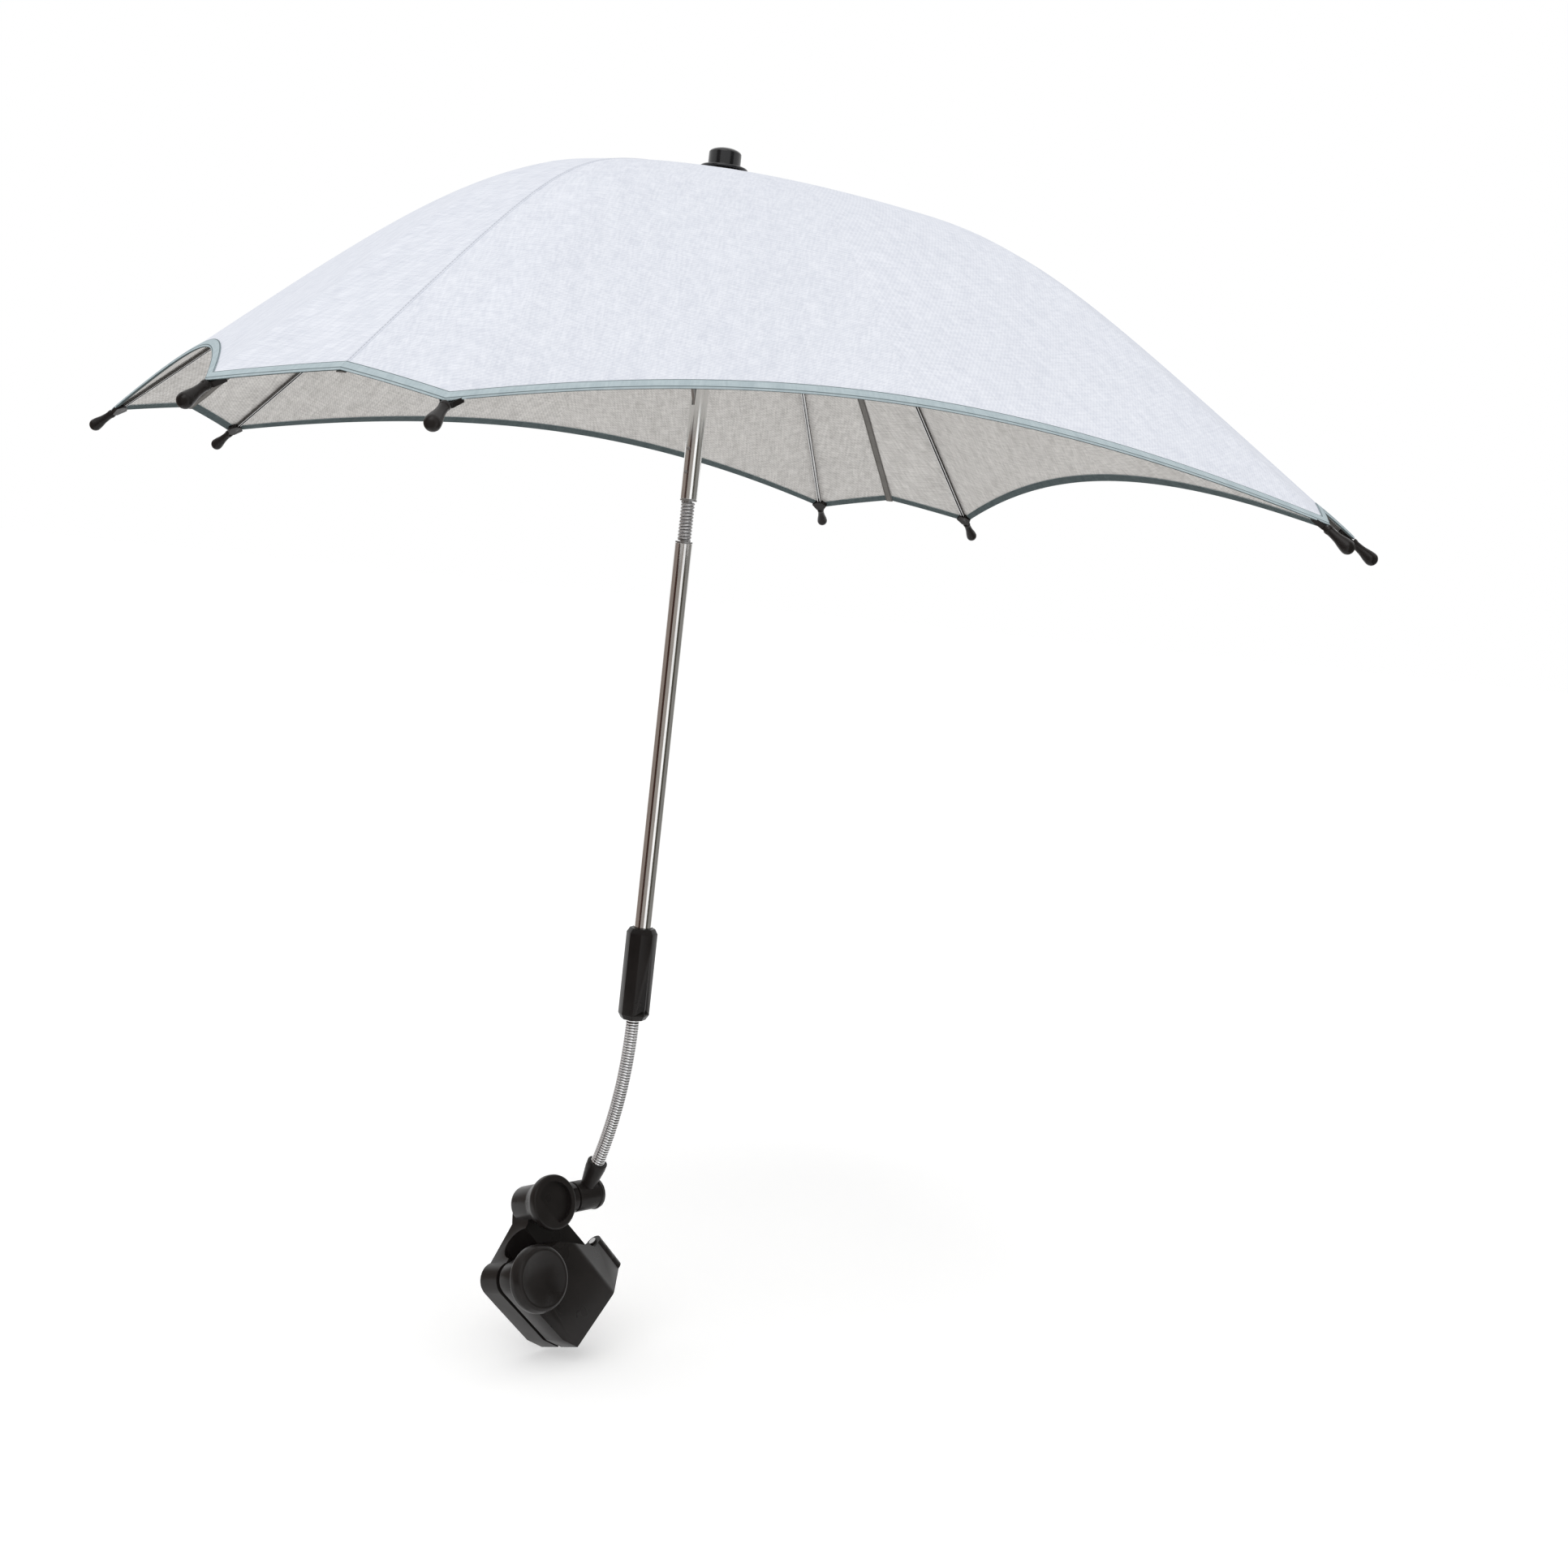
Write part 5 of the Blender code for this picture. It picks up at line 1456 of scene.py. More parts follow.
@dataclass
class Pole:
    """Both pole tubes, the tilt spring and the runner's catch."""

    lower_radius: float = 0.007
    lower_wall: float = 0.001
    upper_radius: float = 0.0068
    upper_wall: float = 0.0008
    lip: float = 0.0003
    sleeve_floor: float = 0.020
    top_drop: float = 0.0037
    coil_radius: float = 0.0043
    wire_radius: float = 0.0012
    coil_pitch: float = 0.0026
    coil_sides: int = 12
    plug_flange: float = 0.0012
    catch_angle: float = math.radians(-150.0)
    catch_drop: float = 0.1633
    slot_width: float = 0.003
    slot_length: float = 0.0143

    def tube(self, name: str, radius: float, wall: float, low: float, high: float) -> Piece:
        """A hollow tube with eased ends.

        Args:
            name: Its name.
            radius: Its outer radius.
            wall: Its wall.
            low: Its lower end up the pole.
            high: Its upper end up the pole.

        Returns:
            The tube.
        """
        outline = [
            (radius - wall, low),
            (radius, low),
            (radius, high),
            (radius - wall, high),
        ]
        return turned(name, outline, LAYOUT.pole, 96, self.lip)

    def build_tubes(self) -> None:
        """Lower and upper pole tubes, the upper one slotted for the catch."""
        low, high = self.sleeve_floor + GAP, LAYOUT.tilt_low
        lower = self.tube("lower_pole_tube", self.lower_radius, self.lower_wall, low, high)
        fitted(lower, "lower_pole", "chrome_tube", Finishes.chrome, "lower_tube", angle=40)
        low, high = LAYOUT.tilt_high, LAYOUT.tilt_high + LAYOUT.upper_run - self.top_drop
        upper = self.tube("upper_pole_tube", self.upper_radius, self.upper_wall, low, high)
        catch = LAYOUT.spoke(self.catch_angle, self.catch_drop)
        half = self.slot_width / 2
        outline = [(0, -half), (REACH, -half), (REACH, half), (0, half)]
        combine(upper, slab("slot", outline, -self.slot_length, GAP, catch), Join.CUT)
        fitted(upper, "upper_pole", "chrome_tube", Finishes.pale, "upper_tube", angle=40)

    def build_spring(self) -> None:
        """The close-wound tilt spring between the tubes."""
        low = LAYOUT.tilt_low + self.plug_flange + self.wire_radius
        high = LAYOUT.tilt_high - self.plug_flange - self.wire_radius
        turns = (high - low) / self.coil_pitch
        sides = self.coil_sides
        section = arc((0, 0), self.wire_radius, 0, 2 * math.pi * (1 - 1 / sides), sides - 1)
        ring = [Vector((self.coil_radius + x, 0, low + z)) for x, z in section]
        spring = laid_ring("tilt_coil", ring, "NGON")
        screw = spring.modifiers.new("coil", "SCREW")
        screw.angle = 2 * math.pi * turns
        screw.screw_offset = high - low
        screw.steps = screw.render_steps = int(turns * 40)
        screw.use_merge_vertices = False
        screw.use_smooth_shade = True
        apply_modifier(spring, screw)
        open_mesh(spring)
        bpy.ops.mesh.remove_doubles(threshold=WELD)
        bpy.ops.mesh.select_all(action="DESELECT")
        bpy.ops.mesh.select_non_manifold()
        bpy.ops.mesh.edge_face_add()
        close_outward()
        spring.data.transform(LAYOUT.pole)
        smooth(spring, 60)
        painted(spring, Finishes.spring)
        foot, top = (LAYOUT.pole_foot + UP * z for z in (LAYOUT.tilt_low, LAYOUT.tilt_high))
        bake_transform(spring)
        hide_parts("tilt_spring")

    def build(self) -> None:
        """Builds the tubes and the spring, and dresses the plugs and the catch."""
        self.build_tubes()
        self.build_spring()
        steel("lower_pole", "lower_plug")
        steel("upper_pole", "upper_plug")
        steel("catch", "runner_catch")
        steel("upper_pole", "catch_rivet_upper", "catch_rivet_lower")


# Crown, hub and ribs


@dataclass
class Crown:
    """The black cap, the hub and the runner."""

    flange_radius: float = 0.0185
    flange: float = 0.0022
    body_radius: float = 0.0125
    height: float = 0.0165
    dome: float = 0.0046
    stem_radius: float = 0.0055
    flange_bevel: float = 0.0012
    foot: Pair = (0.0006, 0.0008)
    ease: float = 0.0006
    flange_wall: float = 0.6
    edge: float = 0.0003

    def build_cap(self) -> None:
        """Glossy cap with a domed top and a thin flange, on the CAD cap's own stem."""
        low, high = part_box("crown_cap")
        base = high.z - self.height
        place = Matrix.Translation((LAYOUT.pole_foot.x, LAYOUT.pole_foot.y, base))
        stem_low, shoulder = low.z - base, self.height - self.dome
        outline = [
            (0, stem_low),
            (self.stem_radius, stem_low),
            (self.stem_radius, 0),
            (self.flange_radius, 0),
            (self.flange_radius, self.flange * self.flange_wall),
            (self.flange_radius - self.flange_bevel, self.flange),
            (self.body_radius + self.foot[0], self.flange),
            (self.body_radius, self.flange + self.foot[1]),
            (self.body_radius, shoulder),
        ]
        outline = eased(outline, self.ease)
        steps = 16
        for i in range(1, steps + 1):
            turn = math.pi / 2 * i / steps
            rise = self.dome * math.sin(turn)
            outline.append((self.body_radius * math.cos(turn), shoulder + rise))
        cap = turned("crown_cap_piece", outline, place, 96)
        fitted(cap, "upper_pole", "gloss_black", Finishes.gloss, "crown_cap", angle=50)

    def build(self) -> None:
        """Builds the cap and dresses the hub, the runner and their wires."""
        self.build_cap()
        refaced("crown_washer", "upper_pole", "black_plastic", Finishes.black)
        refaced("rib_hub", "upper_pole", "black_plastic", Finishes.black, self.edge)
        refaced("runner", "runner", "black_plastic", Finishes.black, self.edge)
        steel("upper_pole", "hub_wire")
        steel("runner", "runner_wire")


@dataclass
class Ribs:
    """Eight ribs in close pairs at the canopy's corners, with stretchers and tips."""

    count: int = 8
    spread: float = math.radians(8.96)
    reach: float = 0.5011
    fall: float = 0.2268
    arch: Pair = (0.2537, 0.0427)
    bend: Pair = (0.2177, 0.0197)
    hole: float = 0.0085
    start: float = 0.001
    drop: float = 0.002594
    length: float = 0.0235
    collar: float = 0.0033
    collar_length: float = 0.0022
    neck: float = 0.0030
    neck_run: Pair = (0.0030, 0.0056)
    neck_flare: Pair = (0.0004, 0.010)
    bulb: float = 0.0049
    bulb_share: float = 0.92
    bulb_runs: Triple = (0.0085, 0.0053, 0.0055)
    end_ease: float = 0.0005
    saddle: float = 0.0075
    saddle_front: float = 0.0012
    saddle_ease: float = 0.0008
    saddle_half: float = 0.0029
    saddle_low: float = -0.0024
    saddle_high: float = 0.0012
    channel_half: float = 0.0016
    channel_low: float = -0.0014
    channel_high: float = 0.01
    wing_half: float = 0.0075
    wing_nose: float = 0.0112
    wing_high: float = 0.001
    wing_ease: float = 0.0006
    side_turn: float = 0.6

    def angle(self, index: int) -> float:
        """Direction of a rib round the pole, from 1 to 8."""
        quarter = (index - 1) // 2
        side = 1 if index % 2 == 0 else -1
        return math.radians(45 + 90 * quarter) + side * self.spread

    def line(self, t: float) -> Vector:
        """Radius and height of the cloth over a rib, from 0 at the crown to 1 at the hem."""
        points = (
            (self.hole, 0.0),
            (self.arch[0], -self.arch[1]),
            (self.bend[0], -self.bend[1]),
            (self.reach, -self.fall),
        )
        weights = ((1 - t) ** 3, 3 * (1 - t) ** 2 * t, 3 * (1 - t) * t**2, t**3)
        return Vector([sum(w * p[k] for w, p in zip(weights, points)) for k in (0, 1)])

    def tip_frame(self, index: int) -> Matrix:
        """z out along a rib from its end, x across it."""
        step = 0.01
        along = (self.line(1 + step) - self.line(1 - step)).normalized()
        above = Vector((-along.y, along.x))
        point = self.line(1.0) - above * self.drop
        out = heading(self.angle(index))
        across = UP.cross(out)
        z = out * along.x + UP * along.y
        origin = LAYOUT.crown @ (out * point.x + UP * point.y)
        return axes(across, z.cross(across), z, origin)

    def bulb_end(self) -> Piece:
        """The turned end of the first rib's tip: a collar, a thin neck and a round bulb."""
        start, collar, neck, bulb = self.start, self.collar, self.neck, self.bulb
        tail = start + self.length
        flare, flare_run = self.neck_flare
        swell, full, last = (tail - run for run in self.bulb_runs)
        outline = [
            (0, start),
            (collar, start),
            (collar, start + self.collar_length),
            (neck, start + self.neck_run[0]),
            (neck, start + self.neck_run[1]),
            (neck + flare, start + flare_run),
            (bulb * self.bulb_share, swell),
            (bulb, full),
        ]
        outline = eased(outline, self.end_ease)[:-3] + [(bulb, last)]
        steps = 14
        for i in range(1, steps + 1):
            turn = math.pi / 2 * i / steps
            outline.append((bulb * math.cos(turn), tail - bulb + bulb * math.sin(turn)))
        return turned("rib_end_1", outline, self.tip_frame(1), 40)

    def channelled(self, block: Piece) -> Piece:
        """Cuts the rib's channel from a block of the first rib's tip."""
        half, low, high = self.channel_half, self.channel_low, self.channel_high
        channel = [(-half, low), (half, low), (half, high), (-half, high)]
        combine(block, slab("channel", channel, -REACH, self.start, self.tip_frame(1)), Join.CUT)
        return block

    def tip(self) -> Piece:
        """The moulded tip of the first rib: its end, its saddle and the flat wing at its neck."""
        home = self.tip_frame(1)
        half, low, high = self.saddle_half, self.saddle_low, self.saddle_high
        outline = [(-half, low), (half, low), (half, high), (-half, high)]
        front = self.start + self.saddle_front
        saddle = slab("saddle", eased(outline, self.saddle_ease), -self.saddle, front, home)
        wide, collar, nose = self.wing_half, self.collar, self.wing_nose
        outline = [(-wide, wide), (-half, nose), (half, nose), (wide, wide)]
        outline += [(collar, 0), (-collar, 0)]
        across, above, out = (home.col[i].to_3d() for i in range(3))
        flat = axes(across, -out, above, home.translation)
        wing = slab("wing", eased(outline, self.wing_ease), low, self.wing_high, flat)
        tip = self.bulb_end()
        combine(tip, self.channelled(saddle), Join.ADD)
        combine(tip, self.channelled(wing), Join.ADD)
        return tip

    def dress(self, index: int) -> None:
        """Shows a rib with a bright underside and painted shade on its sides."""
        rib = merged_copy(f"rib_{index}", f"rib_{index}_piece")
        fitted(rib, f"rib_{index}", "rib_steel", Finishes.rib, f"rib_{index}")
        rib.data.materials.append(Finishes.painted_shade_steel)
        across = UP.cross(heading(self.angle(index)))
        # Faces turned across the rib get the dark steel as painted shade
        for polygon in rib.data.polygons:
            polygon.material_index = int(abs(polygon.normal.dot(across)) > self.side_turn)

    def build(self) -> None:
        """Builds the tips and dresses the ribs and the stretchers."""
        first = self.tip()
        home = self.tip_frame(1).inverted()
        for index in range(1, self.count + 1):
            tip = first
            if index > 1:
                tip = copied(first, f"rib_end_{index}", self.tip_frame(index) @ home)
            node = f"rib_tip_{index}"
            fitted(tip, f"rib_{index}", "black_plastic", Finishes.black, node, angle=50)
            self.dress(index)
            refaced(f"stretcher_{index}", f"stretcher_{index}", "rib_steel", Finishes.rib)


# Canopy


@dataclass(frozen=True)
class Gore:
    """Cloth between two ribs."""

    start: float
    end: float
    hem_cut: float
    bulge: float
    peaked: bool = False


Stop = tuple[Gore, float]


@dataclass
class Canopy:
    """The square canopy as one curved sheet, parted where it folds with each rib."""

    ribs: Ribs = field(default_factory=Ribs)
    thickness: float = 0.0007
    long_hem_cut: float = 0.043
    corner_hem_cut: float = 0.0185
    long_bulge: float = 0.0226
    corner_bulge: float = 0.0132
    rows: int = 56
    corner_columns: int = 10
    long_columns: int = 28
    kept: float = 0.1
    join: float = 0.00002
    nudge: float = 0.01
    clear: float = 0.0001
    binding_width: float = 0.007
    binding: float = 0.0006
    binding_crest: float = 0.00015
    binding_fold: float = 0.0006
    binding_nose: float = 0.0004
    binding_inward: float = 0.985
    binding_below: float = -0.2
    nose_turns: tuple[float, ...] = (0.5, 1.0, 1.57, 2.14, 2.64)
    tape_width: float = 0.0065
    tape: float = 0.0005
    tape_crest: float = 0.0002
    tape_run: Pair = (0.06, 1.001)
    tape_lap: float = 0.0003
    tape_waver: float = 0.0004
    waver_rates: Pair = (31.0, 13.0)
    lap_run: Pair = (0.965, 0.98)
    strip_steps: int = 90
    seam_width: float = 0.0032
    seam: float = 0.0004
    seam_sunk: float = 0.0002
    seam_shoulder: Pair = (0.85, 0.7)
    seam_run: Pair = (0.02, 0.995)

    def corner_gore(self, quarter: int) -> Gore:
        """The narrow gore at one of the four corners."""
        first = 2 * quarter + 1
        return Gore(
            self.ribs.angle(first),
            self.ribs.angle(first + 1),
            self.corner_hem_cut,
            self.corner_bulge,
            peaked=True,
        )

    def long_gore(self, quarter: int) -> Gore:
        """The wide gore that follows a corner."""
        start = self.ribs.angle(2 * quarter + 2)
        end = start + math.pi / 2 - 2 * self.ribs.spread
        return Gore(start, end, self.long_hem_cut, self.long_bulge)

    def point(self, stop: Stop, t: float) -> Vector:
        """A point of the cloth.

        Args:
            stop: The gore and the share of the way across it.
            t: From 0 at the crown to 1 at the hem.

        Returns:
            The point in the shared frame.
        """
        gore, share = stop
        bow = 4 * share * (1 - share)
        cut = 1 - abs(2 * share - 1) if gore.peaked else bow
        radius, height = self.ribs.line(t * (1 - gore.hem_cut * cut))
        ends = [heading(a) * radius for a in (gore.start, gore.end)]
        place = ends[0].lerp(ends[1], share)
        span = (ends[0] - ends[1]).length
        return LAYOUT.crown @ (place + UP * (height + gore.bulge * bow * span))

    def normal(self, stop: Stop, t: float) -> Vector:
        """The cloth's outward direction at a point.

        Args:
            stop: The gore and the share of the way across it.
            t: From 0 at the crown to 1 at the hem.

        Returns:
            A unit vector.
        """
        gore, share = stop
        low, high = max(t - self.nudge, 0.0), min(t + self.nudge, 1.0)
        near, far = max(share - self.nudge, 0.0), min(share + self.nudge, 1.0)
        down = self.point(stop, high) - self.point(stop, low)
        t = max(t, self.nudge)
        round_way = self.point((gore, far), t) - self.point((gore, near), t)
        return down.cross(round_way).normalized()

    def stops(self, index: int) -> list[Stop]:
        """The columns of one rib's part of the cloth, in the order of their angles."""
        quarter = (index - 1) // 2
        corner = self.corner_gore(quarter)
        halves = [0.5 * i / self.corner_columns for i in range(self.corner_columns + 1)]
        wides = [0.5 * i / self.long_columns for i in range(self.long_columns + 1)]
        if index % 2:
            wide = self.long_gore((quarter - 1) % 4)
            return [(wide, 0.5 + s) for s in wides] + [(corner, s) for s in halves[1:]]
        wide = self.long_gore(quarter)
        return [(corner, 0.5 + s) for s in halves] + [(wide, s) for s in wides[1:]]

    def parted(self, stops: list[Stop], column: int) -> Stop:
        """A column, moved a hair back from the next rib's part where it is the last one."""
        gore, share = stops[column]
        if column not in (0, len(stops) - 1):
            return gore, share
        inward = 1 if column == 0 else -1
        return gore, share + inward * self.join / (gore.end - gore.start) / self.ribs.reach

    def held(self, obj: Piece, index: int, slot: str, *nodes: str) -> None:
        """Rides a soft piece on its rib.

        Args:
            obj: The piece.
            index: Its rib, from 1 to 8.
            slot: Not used.
            *nodes: The CAD nodes that it stands for.
        """
        if nodes:
            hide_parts(*nodes)
        angle = self.ribs.angle(index)
        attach(obj, f"rib_{index}")
        LAYOUT.crown.translation
        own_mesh(obj)

    def area(self, stops: list[Stop], steps: int = 30) -> float:
        """Area of the cloth between some columns."""
        total = 0.0
        for left, right in zip(stops, stops[1:]):
            for i in range(steps):
                a, b = self.point(left, i / steps), self.point(left, (i + 1) / steps)
                c, d = self.point(right, i / steps), self.point(right, (i + 1) / steps)
                total += ((b - a).cross(c - a).length + (c - d).cross(b - d).length) / 2
        return total

    def ribbed(self, index: int) -> int:
        """The column that lies on a rib."""
        return self.long_columns if index % 2 else self.corner_columns

    def panel_faces(self, across: int) -> tuple[list[tuple[int, ...]], list[Face]]:
        """Faces of a panel's outside, underside and rim.

        Args:
            across: How many columns of points it has.

        Returns:
            The faces, and the side of the cloth that each one belongs to.
        """
        down = self.rows + 1
        count = across * down
        faces: list[tuple[int, ...]] = []
        sides: list[Face] = []
        for column in range(across - 1):
            for row in range(down - 1):
                a = column * down + row
                quad = (a, a + 1, a + down + 1, a + down)
                faces += [quad, tuple(count + i for i in reversed(quad))]
                sides += [Face.OUTSIDE, Face.UNDERSIDE]
        rim = [column * down for column in range(across)]
        rim += [(across - 1) * down + row for row in range(1, down)]
        rim += [column * down + down - 1 for column in range(across - 2, -1, -1)]
        rim += list(range(down - 2, 0, -1))
        faces += [(a, b, count + b, count + a) for a, b in zip(rim, rim[1:] + rim[:1])]
        sides += [Face.OUTSIDE] * len(rim)
        return faces, sides

    def petal(self, index: int) -> Piece:
        """One rib's part of the cloth, with both faces and its cloth coordinates.

        Args:
            index: The rib, from 1 to 8.

        Returns:
            The piece.
        """
        stops = self.stops(index)
        points: list[Vector] = []
        normals: list[Vector] = []
        for column, stop in enumerate(stops):
            for row in range(self.rows + 1):
                t = row / self.rows
                normal = self.normal(stop, t)
                if column == self.ribbed(index):
                    beside = self.normal((stops[column + 1][0], 0.0), t)
                    normal = (normal + beside).normalized()
                points.append(self.point(self.parted(stops, column), t))
                normals.append(normal)
        half = self.thickness / 2
        outer = [p + n * half for p, n in zip(points, normals)]
        inner = [p - n * half for p, n in zip(points, normals)]
        faces, sides = self.panel_faces(len(stops))
        mesh = bpy.data.meshes.new(f"canopy_panel_{index}")
        mesh.from_pydata(outer + inner, [], faces)
        layer = mesh.uv_layers.new(name="cloth")
        flat = self.cloth_coordinates(points, len(stops))
        for polygon, side in zip(mesh.polygons, sides):
            polygon.material_index = side.value
            polygon.use_smooth = True
            for loop in polygon.loop_indices:
                layer.data[loop].uv = flat[mesh.loops[loop].vertex_index % len(points)]
        mesh.normals_split_custom_set_from_vertices([*normals, *(-n for n in normals)])
        mesh.materials.append(Finishes.outside)
        mesh.materials.append(Finishes.underside)
        return shown(f"canopy_panel_{index}", mesh)

    def cloth_coordinates(self, points: list[Vector], across: int) -> list[Pair]:
        """Coordinates on the cloth in metres: straight across a panel and down it."""
        flat: list[Pair] = []
        down = self.rows + 1
        columns = [points[i * down : (i + 1) * down] for i in range(across)]
        for number, column in enumerate(columns):
            side = 1 if number > across // 2 else -1
            for point, middle, run in zip(column, columns[across // 2], runs_along(column)):
                flat.append((side * (point - middle).length, run))
        return flat

    def swept(
        self, name: str, stations: list[list[Vector]], around: list[float], runs: list[float]
    ) -> Piece:
        """A closed strip from one section to the next.

        Args:
            name: Its name.
            stations: The sections, each a closed outline.
            around: The cloth coordinate of each outline point.
            runs: The cloth coordinate of each section.

        Returns:
            The piece, without a material.
        """
        size = len(stations[0])
        faces: list[tuple[int, ...]] = []
        for i in range(len(stations) - 1):
            for j in range(size):
                a, b = i * size + j, i * size + (j + 1) % size
                faces.append((a, b, b + size, a + size))
        faces.append(tuple(reversed(range(size))))
        last = (len(stations) - 1) * size
        faces.append(tuple(last + j for j in range(size)))
        mesh = bpy.data.meshes.new(name)
        mesh.from_pydata([p for ring in stations for p in ring], [], faces)
        layer = mesh.uv_layers.new(name="cloth")
        for loop in mesh.loops:
            station, spot = divmod(loop.vertex_index, size)
            layer.data[loop.index].uv = (runs[station], around[spot])
        obj = shown(name, mesh)
        open_mesh(obj)
        close_outward()
        return obj

    def hem(self, index: int) -> Piece:
        """One rib's part of the folded binding round the hem, with its downward faces painted
        darker as shade.

        Args:
            index: The rib, from 1 to 8.

        Returns:
            The piece.
        """
        gap, width, fold = self.thickness / 2 + self.clear, self.binding_width, self.binding_fold
        out = gap + self.binding
        crest = out + self.binding_crest
        section = [(width, out)] + [(width - width * i / 4, crest) for i in range(1, 4)]
        section += [(fold, out)]
        for a in self.nose_turns:
            section.append((fold - math.sin(a) * (out + self.binding_nose), math.cos(a) * out))
        section += [(fold, -out)] + [(width * i / 4, -crest) for i in range(1, 4)]
        section += [(width, -out), (width, -gap), (fold, -gap), (fold, gap), (width, gap)]
        around = [width - x for x, _ in section]
        columns = self.stops(index)
        stops = [self.parted(columns, column) for column in range(len(columns))]
        edges = [self.point(stop, 1.0) for stop in stops]
        stations: list[list[Vector]] = []
        for stop, edge in zip(stops, edges):
            inward = (self.point(stop, self.binding_inward) - edge).normalized()
            normal = self.normal(stop, 1.0)
            stations.append([edge + inward * x + normal * y for x, y in section])
        hem = self.swept(f"hem_binding_{index}", stations, around, runs_along(edges))
        smooth(hem, 40)
        painted(hem, Finishes.binding)
        hem.data.materials.append(Finishes.binding_painted_shade)
        outward = self.normal(columns[len(columns) // 2], 1.0)
        # Faces that turn down get the dark binding copy as painted shade
        for polygon in hem.data.polygons:
            below = outward.dot(polygon.normal) < self.binding_below
            polygon.material_index = Face.UNDERSIDE.value if below else Face.OUTSIDE.value
        return hem

    def strip(
        self, name: str, quarter: int, section: list[Pair], run: Pair, lapped: float, waver: float
    ) -> Piece:
        """A strip along the middle of a corner gore.

        Args:
            name: Its name.
            quarter: The corner, from 0 to 3.
            section: Its outline across and above the cloth.
            run: Where it starts and ends, from 0 at the crown to 1 at the hem.
            lapped: How far it steps down over the hem binding.
            waver: How far it wanders aside.

        Returns:
            The piece.
        """
        gore = self.corner_gore(quarter)
        stop = (gore, 0.5)
        across = UP.cross(heading((gore.start + gore.end) / 2))
        width = max(x for x, _ in section)
        (start, end), (lap, lap_end), (fast, slow) = run, self.lap_run, self.waver_rates
        shares = [start + (end - start) * i / self.strip_steps for i in range(self.strip_steps + 1)]
        middles = [self.point(stop, t) for t in shares]
        stations: list[list[Vector]] = []
        for t, middle in zip(shares, middles):
            normal = self.normal(stop, t)
            sunk = lapped * min(max((t - lap) / (lap_end - lap), 0.0), 1.0)
            aside = waver * math.sin(t * fast + quarter) * math.sin(t * slow)
            base = middle + across * aside - normal * sunk
            stations.append([base + across * x + normal * y for x, y in section])
        return self.swept(name, stations, [x + width for x, _ in section], runs_along(middles))

    def build_seams(self, quarter: int) -> list[Piece]:
        """The tape under a corner seam and the sewn fold above it."""
        number, rib = quarter + 1, 2 * quarter + 1
        half, top = self.tape_width / 2, -(self.thickness / 2 + self.clear)
        low = top - self.tape
        section = [(-half, top), (-half, low), (0, low - self.tape_crest), (half, low)]
        section += [(half, top), (0, top)]
        lapped = self.binding + self.tape_lap
        tape = self.strip(
            f"seam_tape_piece_{number}", quarter, section, self.tape_run, lapped, self.tape_waver
        )
        smooth(tape, 40)
        painted(tape, Finishes.tape)
        self.held(tape, rib, "seam_cloth", f"seam_tape_{number}")
        half, rise = self.seam_width / 2, self.thickness / 2
        foot, top = rise - self.seam_sunk, rise + self.seam
        wide, high = self.seam_shoulder
        wide, high = half * wide, rise + self.seam * high
        section = [(-half, foot), (half, foot), (wide, high), (0, top), (-wide, high)]
        fold = self.strip(f"seam_fold_{number}", quarter, section, self.seam_run, 0.0, 0.0)
        smooth(fold, 40)
        painted(fold, Finishes.seam)
        self.held(fold, rib, "canopy_cloth")
        return [tape, fold]

    def build(self) -> None:
        sewn: dict[int, list[Piece]] = {i: [] for i in range(1, self.ribs.count + 1)}
        for quarter in range(4):
            sewn[2 * quarter + 1] += self.build_seams(quarter)
        for index in range(1, self.ribs.count + 1):
            panel = self.petal(index)
            hem = self.hem(index)
            self.held(panel, index, "canopy_cloth", "canopy")
            self.held(hem, index, "binding_cloth", "hem_binding")
            stops = self.stops(index)
            width = runs_along([self.point(stop, 1.0) for stop in stops])[-1]
            middle = stops[self.ribbed(index)]
            length = runs_along([self.point(middle, i / 60) for i in range(61)])[-1]
            area = self.area(stops)
            log.info("canopy panel %d: %.3f x %.3f m, %.4f m2", index, width, length, area)


# Studio


@dataclass(frozen=True)
class Card:
    """A card beside the pole, between two directions turned from the camera's, in degrees."""

    start: float
    end: float
    top: float
    colour: Triple


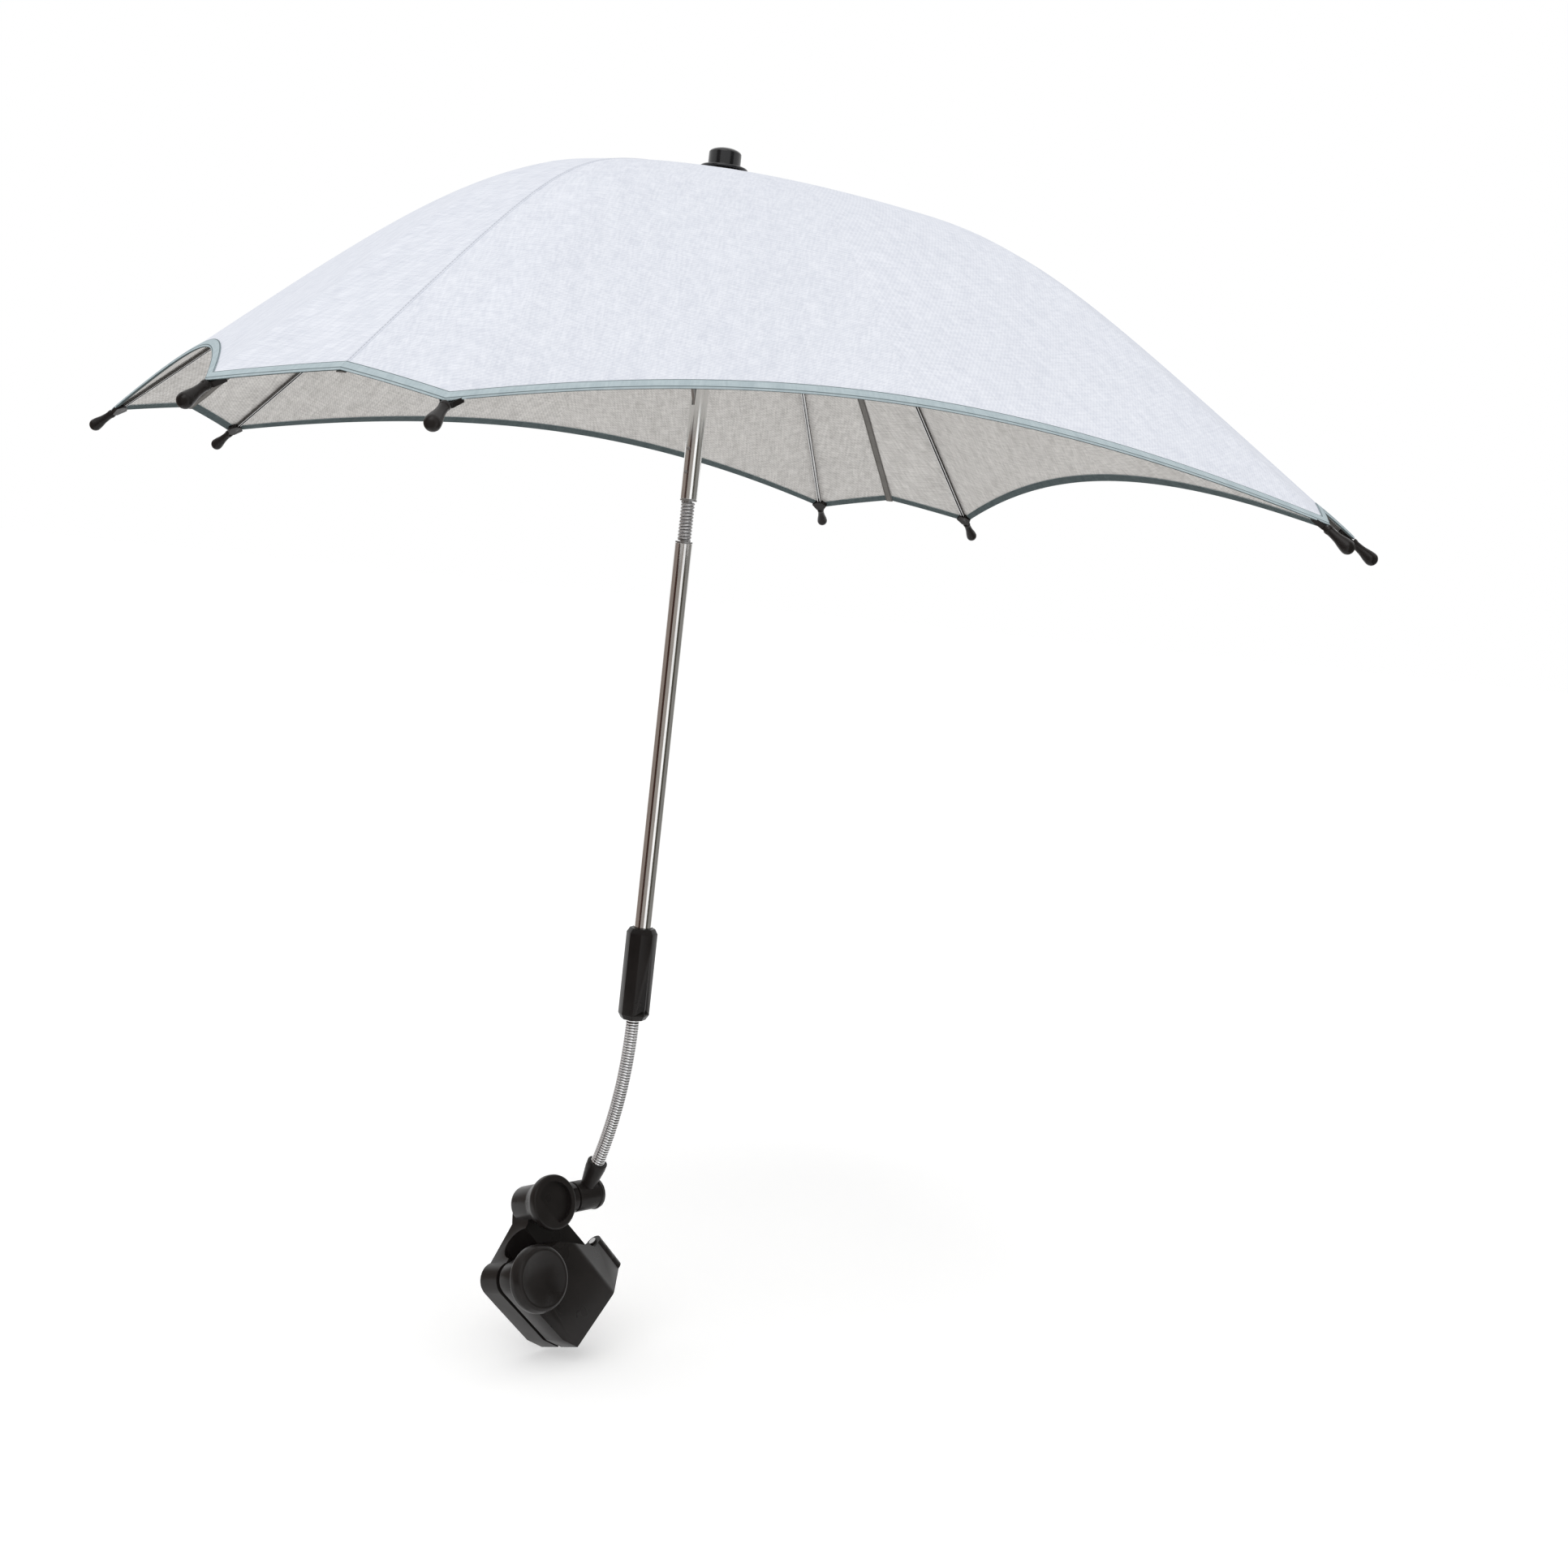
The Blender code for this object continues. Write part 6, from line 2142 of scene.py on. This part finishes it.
@dataclass
class Studio:
    """Camera, soft light, pale floor and the cards that bright metal mirrors."""

    eye: Triple = (-0.5109, -1.4852, 0.5889)
    right: Triple = (0.9125, -0.39343, 0.11208)
    down: Triple = (0.06108, -0.13987, -0.98828)
    forward: Triple = (0.4045, 0.90865, -0.10361)
    lens: float = 46.17
    sensor: float = 36.0
    clip: Pair = (0.05, 200.0)
    world_strength: float = 0.78
    sun_strength: float = 0.9
    sun_spread: float = math.radians(50)
    sun_turn: Triple = (math.radians(32), math.radians(-24), math.radians(-12))
    floor_half: float = 30.0
    floor_drop: float = 0.002
    floor_tones: Pair = (0.86, 0.88)
    floor_glow: float = 0.3
    card_distance: float = 0.75
    card_foot: float = -1.2
    cards: tuple[Card, ...] = (
        Card(-128.0, -62.0, 0.8, (0.27, 0.225, 0.2)),
        Card(-62.0, -34.0, 1.6, (0.05, 0.026, 0.02)),
        Card(-34.0, 10.0, 0.8, (0.34, 0.31, 0.285)),
        Card(38.0, 64.0, 1.6, (0.075, 0.07, 0.056)),
        Card(64.0, 126.0, 0.8, (0.25, 0.245, 0.23)),
    )

    def build_camera(self) -> None:
        """The camera at the photograph's viewing angle."""
        data = bpy.data.cameras.new("view_camera")
        data.lens, data.sensor_width, data.sensor_fit = self.lens, self.sensor, "HORIZONTAL"
        data.clip_start, data.clip_end = self.clip
        camera = shown("view_camera", data)
        x, y, z = Vector(self.right), -Vector(self.down), -Vector(self.forward)
        camera.matrix_world = axes(x, y, z, Vector(self.eye))
        bpy.context.scene.camera = camera

    def build_world(self) -> None:
        """Even soft light, seen as white by the camera and by mirrors."""
        world = bpy.data.worlds.new("studio")
        world.use_nodes = True
        bench = Bench(world.node_tree)
        light = bench.tree.nodes["Background"]
        white = bench.tree.nodes.new("ShaderNodeBackground")
        settle(light, {"Color": WHITE, "Strength": self.world_strength})
        settle(white, {"Color": WHITE, "Strength": 1.0})
        mix = bench.tree.nodes.new("ShaderNodeMixShader")
        seen = seen_by(bench, "Is Camera Ray", "Is Glossy Ray", "Is Transmission Ray")
        for source, target in zip((seen, light.outputs[0], white.outputs[0]), mix.inputs):
            bench.link(source, target)
        bench.link(mix.outputs[0], bench.tree.nodes["World Output"].inputs["Surface"])
        bpy.context.scene.world = world

    def build_sun(self) -> None:
        """A soft lamp from above, beside the camera."""
        data = bpy.data.lights.new("key_lamp", "SUN")
        data.energy, data.angle = self.sun_strength, self.sun_spread
        shown("key_lamp", data).rotation_euler = self.sun_turn

    def build_floor(self) -> None:
        """A pale floor that keeps the shadow and otherwise looks white."""
        deselect()
        bpy.ops.mesh.primitive_plane_add(size=2 * self.floor_half)
        floor = bpy.context.object
        floor.name = "studio_floor"
        floor.data.transform(Matrix.Translation((0, 0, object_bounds()[0].z - self.floor_drop)))
        material, bench, shader = start_material("studio_floor")
        dark, pale = [(tone, tone, tone, 1) for tone in self.floor_tones]
        tone = bench.blend(bench.noise(bench.own_place(), 3.0), dark, pale)
        bench.link(tone, shader.inputs["Base Color"])
        settle(shader, {"Roughness": 0.9, "Specular IOR Level": 0.0, "Emission Color": WHITE})
        seen = seen_by(bench, "Is Camera Ray", "Is Glossy Ray")
        bench.link(bench.times(seen, self.floor_glow), shader.inputs["Emission Strength"])
        painted(floor, material)
        floor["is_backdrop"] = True

    def build_cards(self) -> None:
        """Tall cards round the pole that only mirrors see."""
        foot = LAYOUT.pole_foot
        facing = math.atan2(self.eye[1] - foot.y, self.eye[0] - foot.x)
        for number, card in enumerate(self.cards, 1):
            out = heading(facing + math.radians((card.start + card.end) / 2))
            half = self.card_distance * math.tan(math.radians((card.end - card.start) / 2))
            height = (card.top - self.card_foot) / 2
            deselect()
            bpy.ops.mesh.primitive_plane_add(size=2.0)
            sheet = bpy.context.object
            sheet.name = f"mirror_card_{number}"
            place = Vector((foot.x, foot.y, self.card_foot + height)) + out * self.card_distance
            sheet.data.transform(axes(UP.cross(out) * half, UP * height, -out, place))
            material, _, shader = start_material(sheet.name)
            settle(shader, {"Base Color": BLACK, "Specular IOR Level": 0.0})
            settle(shader, {"Emission Color": (*card.colour, 1), "Emission Strength": 1.0})
            painted(sheet, material)
            sheet.visible_camera = sheet.visible_diffuse = False
            sheet.visible_transmission = sheet.visible_shadow = False
            sheet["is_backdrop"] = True

    def build(self) -> None:
        """Sets up the whole studio."""
        bpy.context.scene.view_settings.view_transform = "Standard"
        self.build_camera()
        self.build_world()
        self.build_sun()
        self.build_floor()
        self.build_cards()


def main() -> None:
    """Builds each sub-assembly in order and reports it."""
    logging.basicConfig(level=logging.INFO, format="%(message)s")
    ribs = Ribs()
    parts = (Clamp(), SwivelHead(), GripSleeve(), Pole(), Crown(), ribs, Canopy(ribs), Studio())
    for part in parts:
        part.build()
        log.info("built %s", type(part).__name__)
    for name, node in frame["nodes"].items():
        if not node.hide_render:
            log.info("bare node %s", name)


if __name__ == "__main__":
    main()
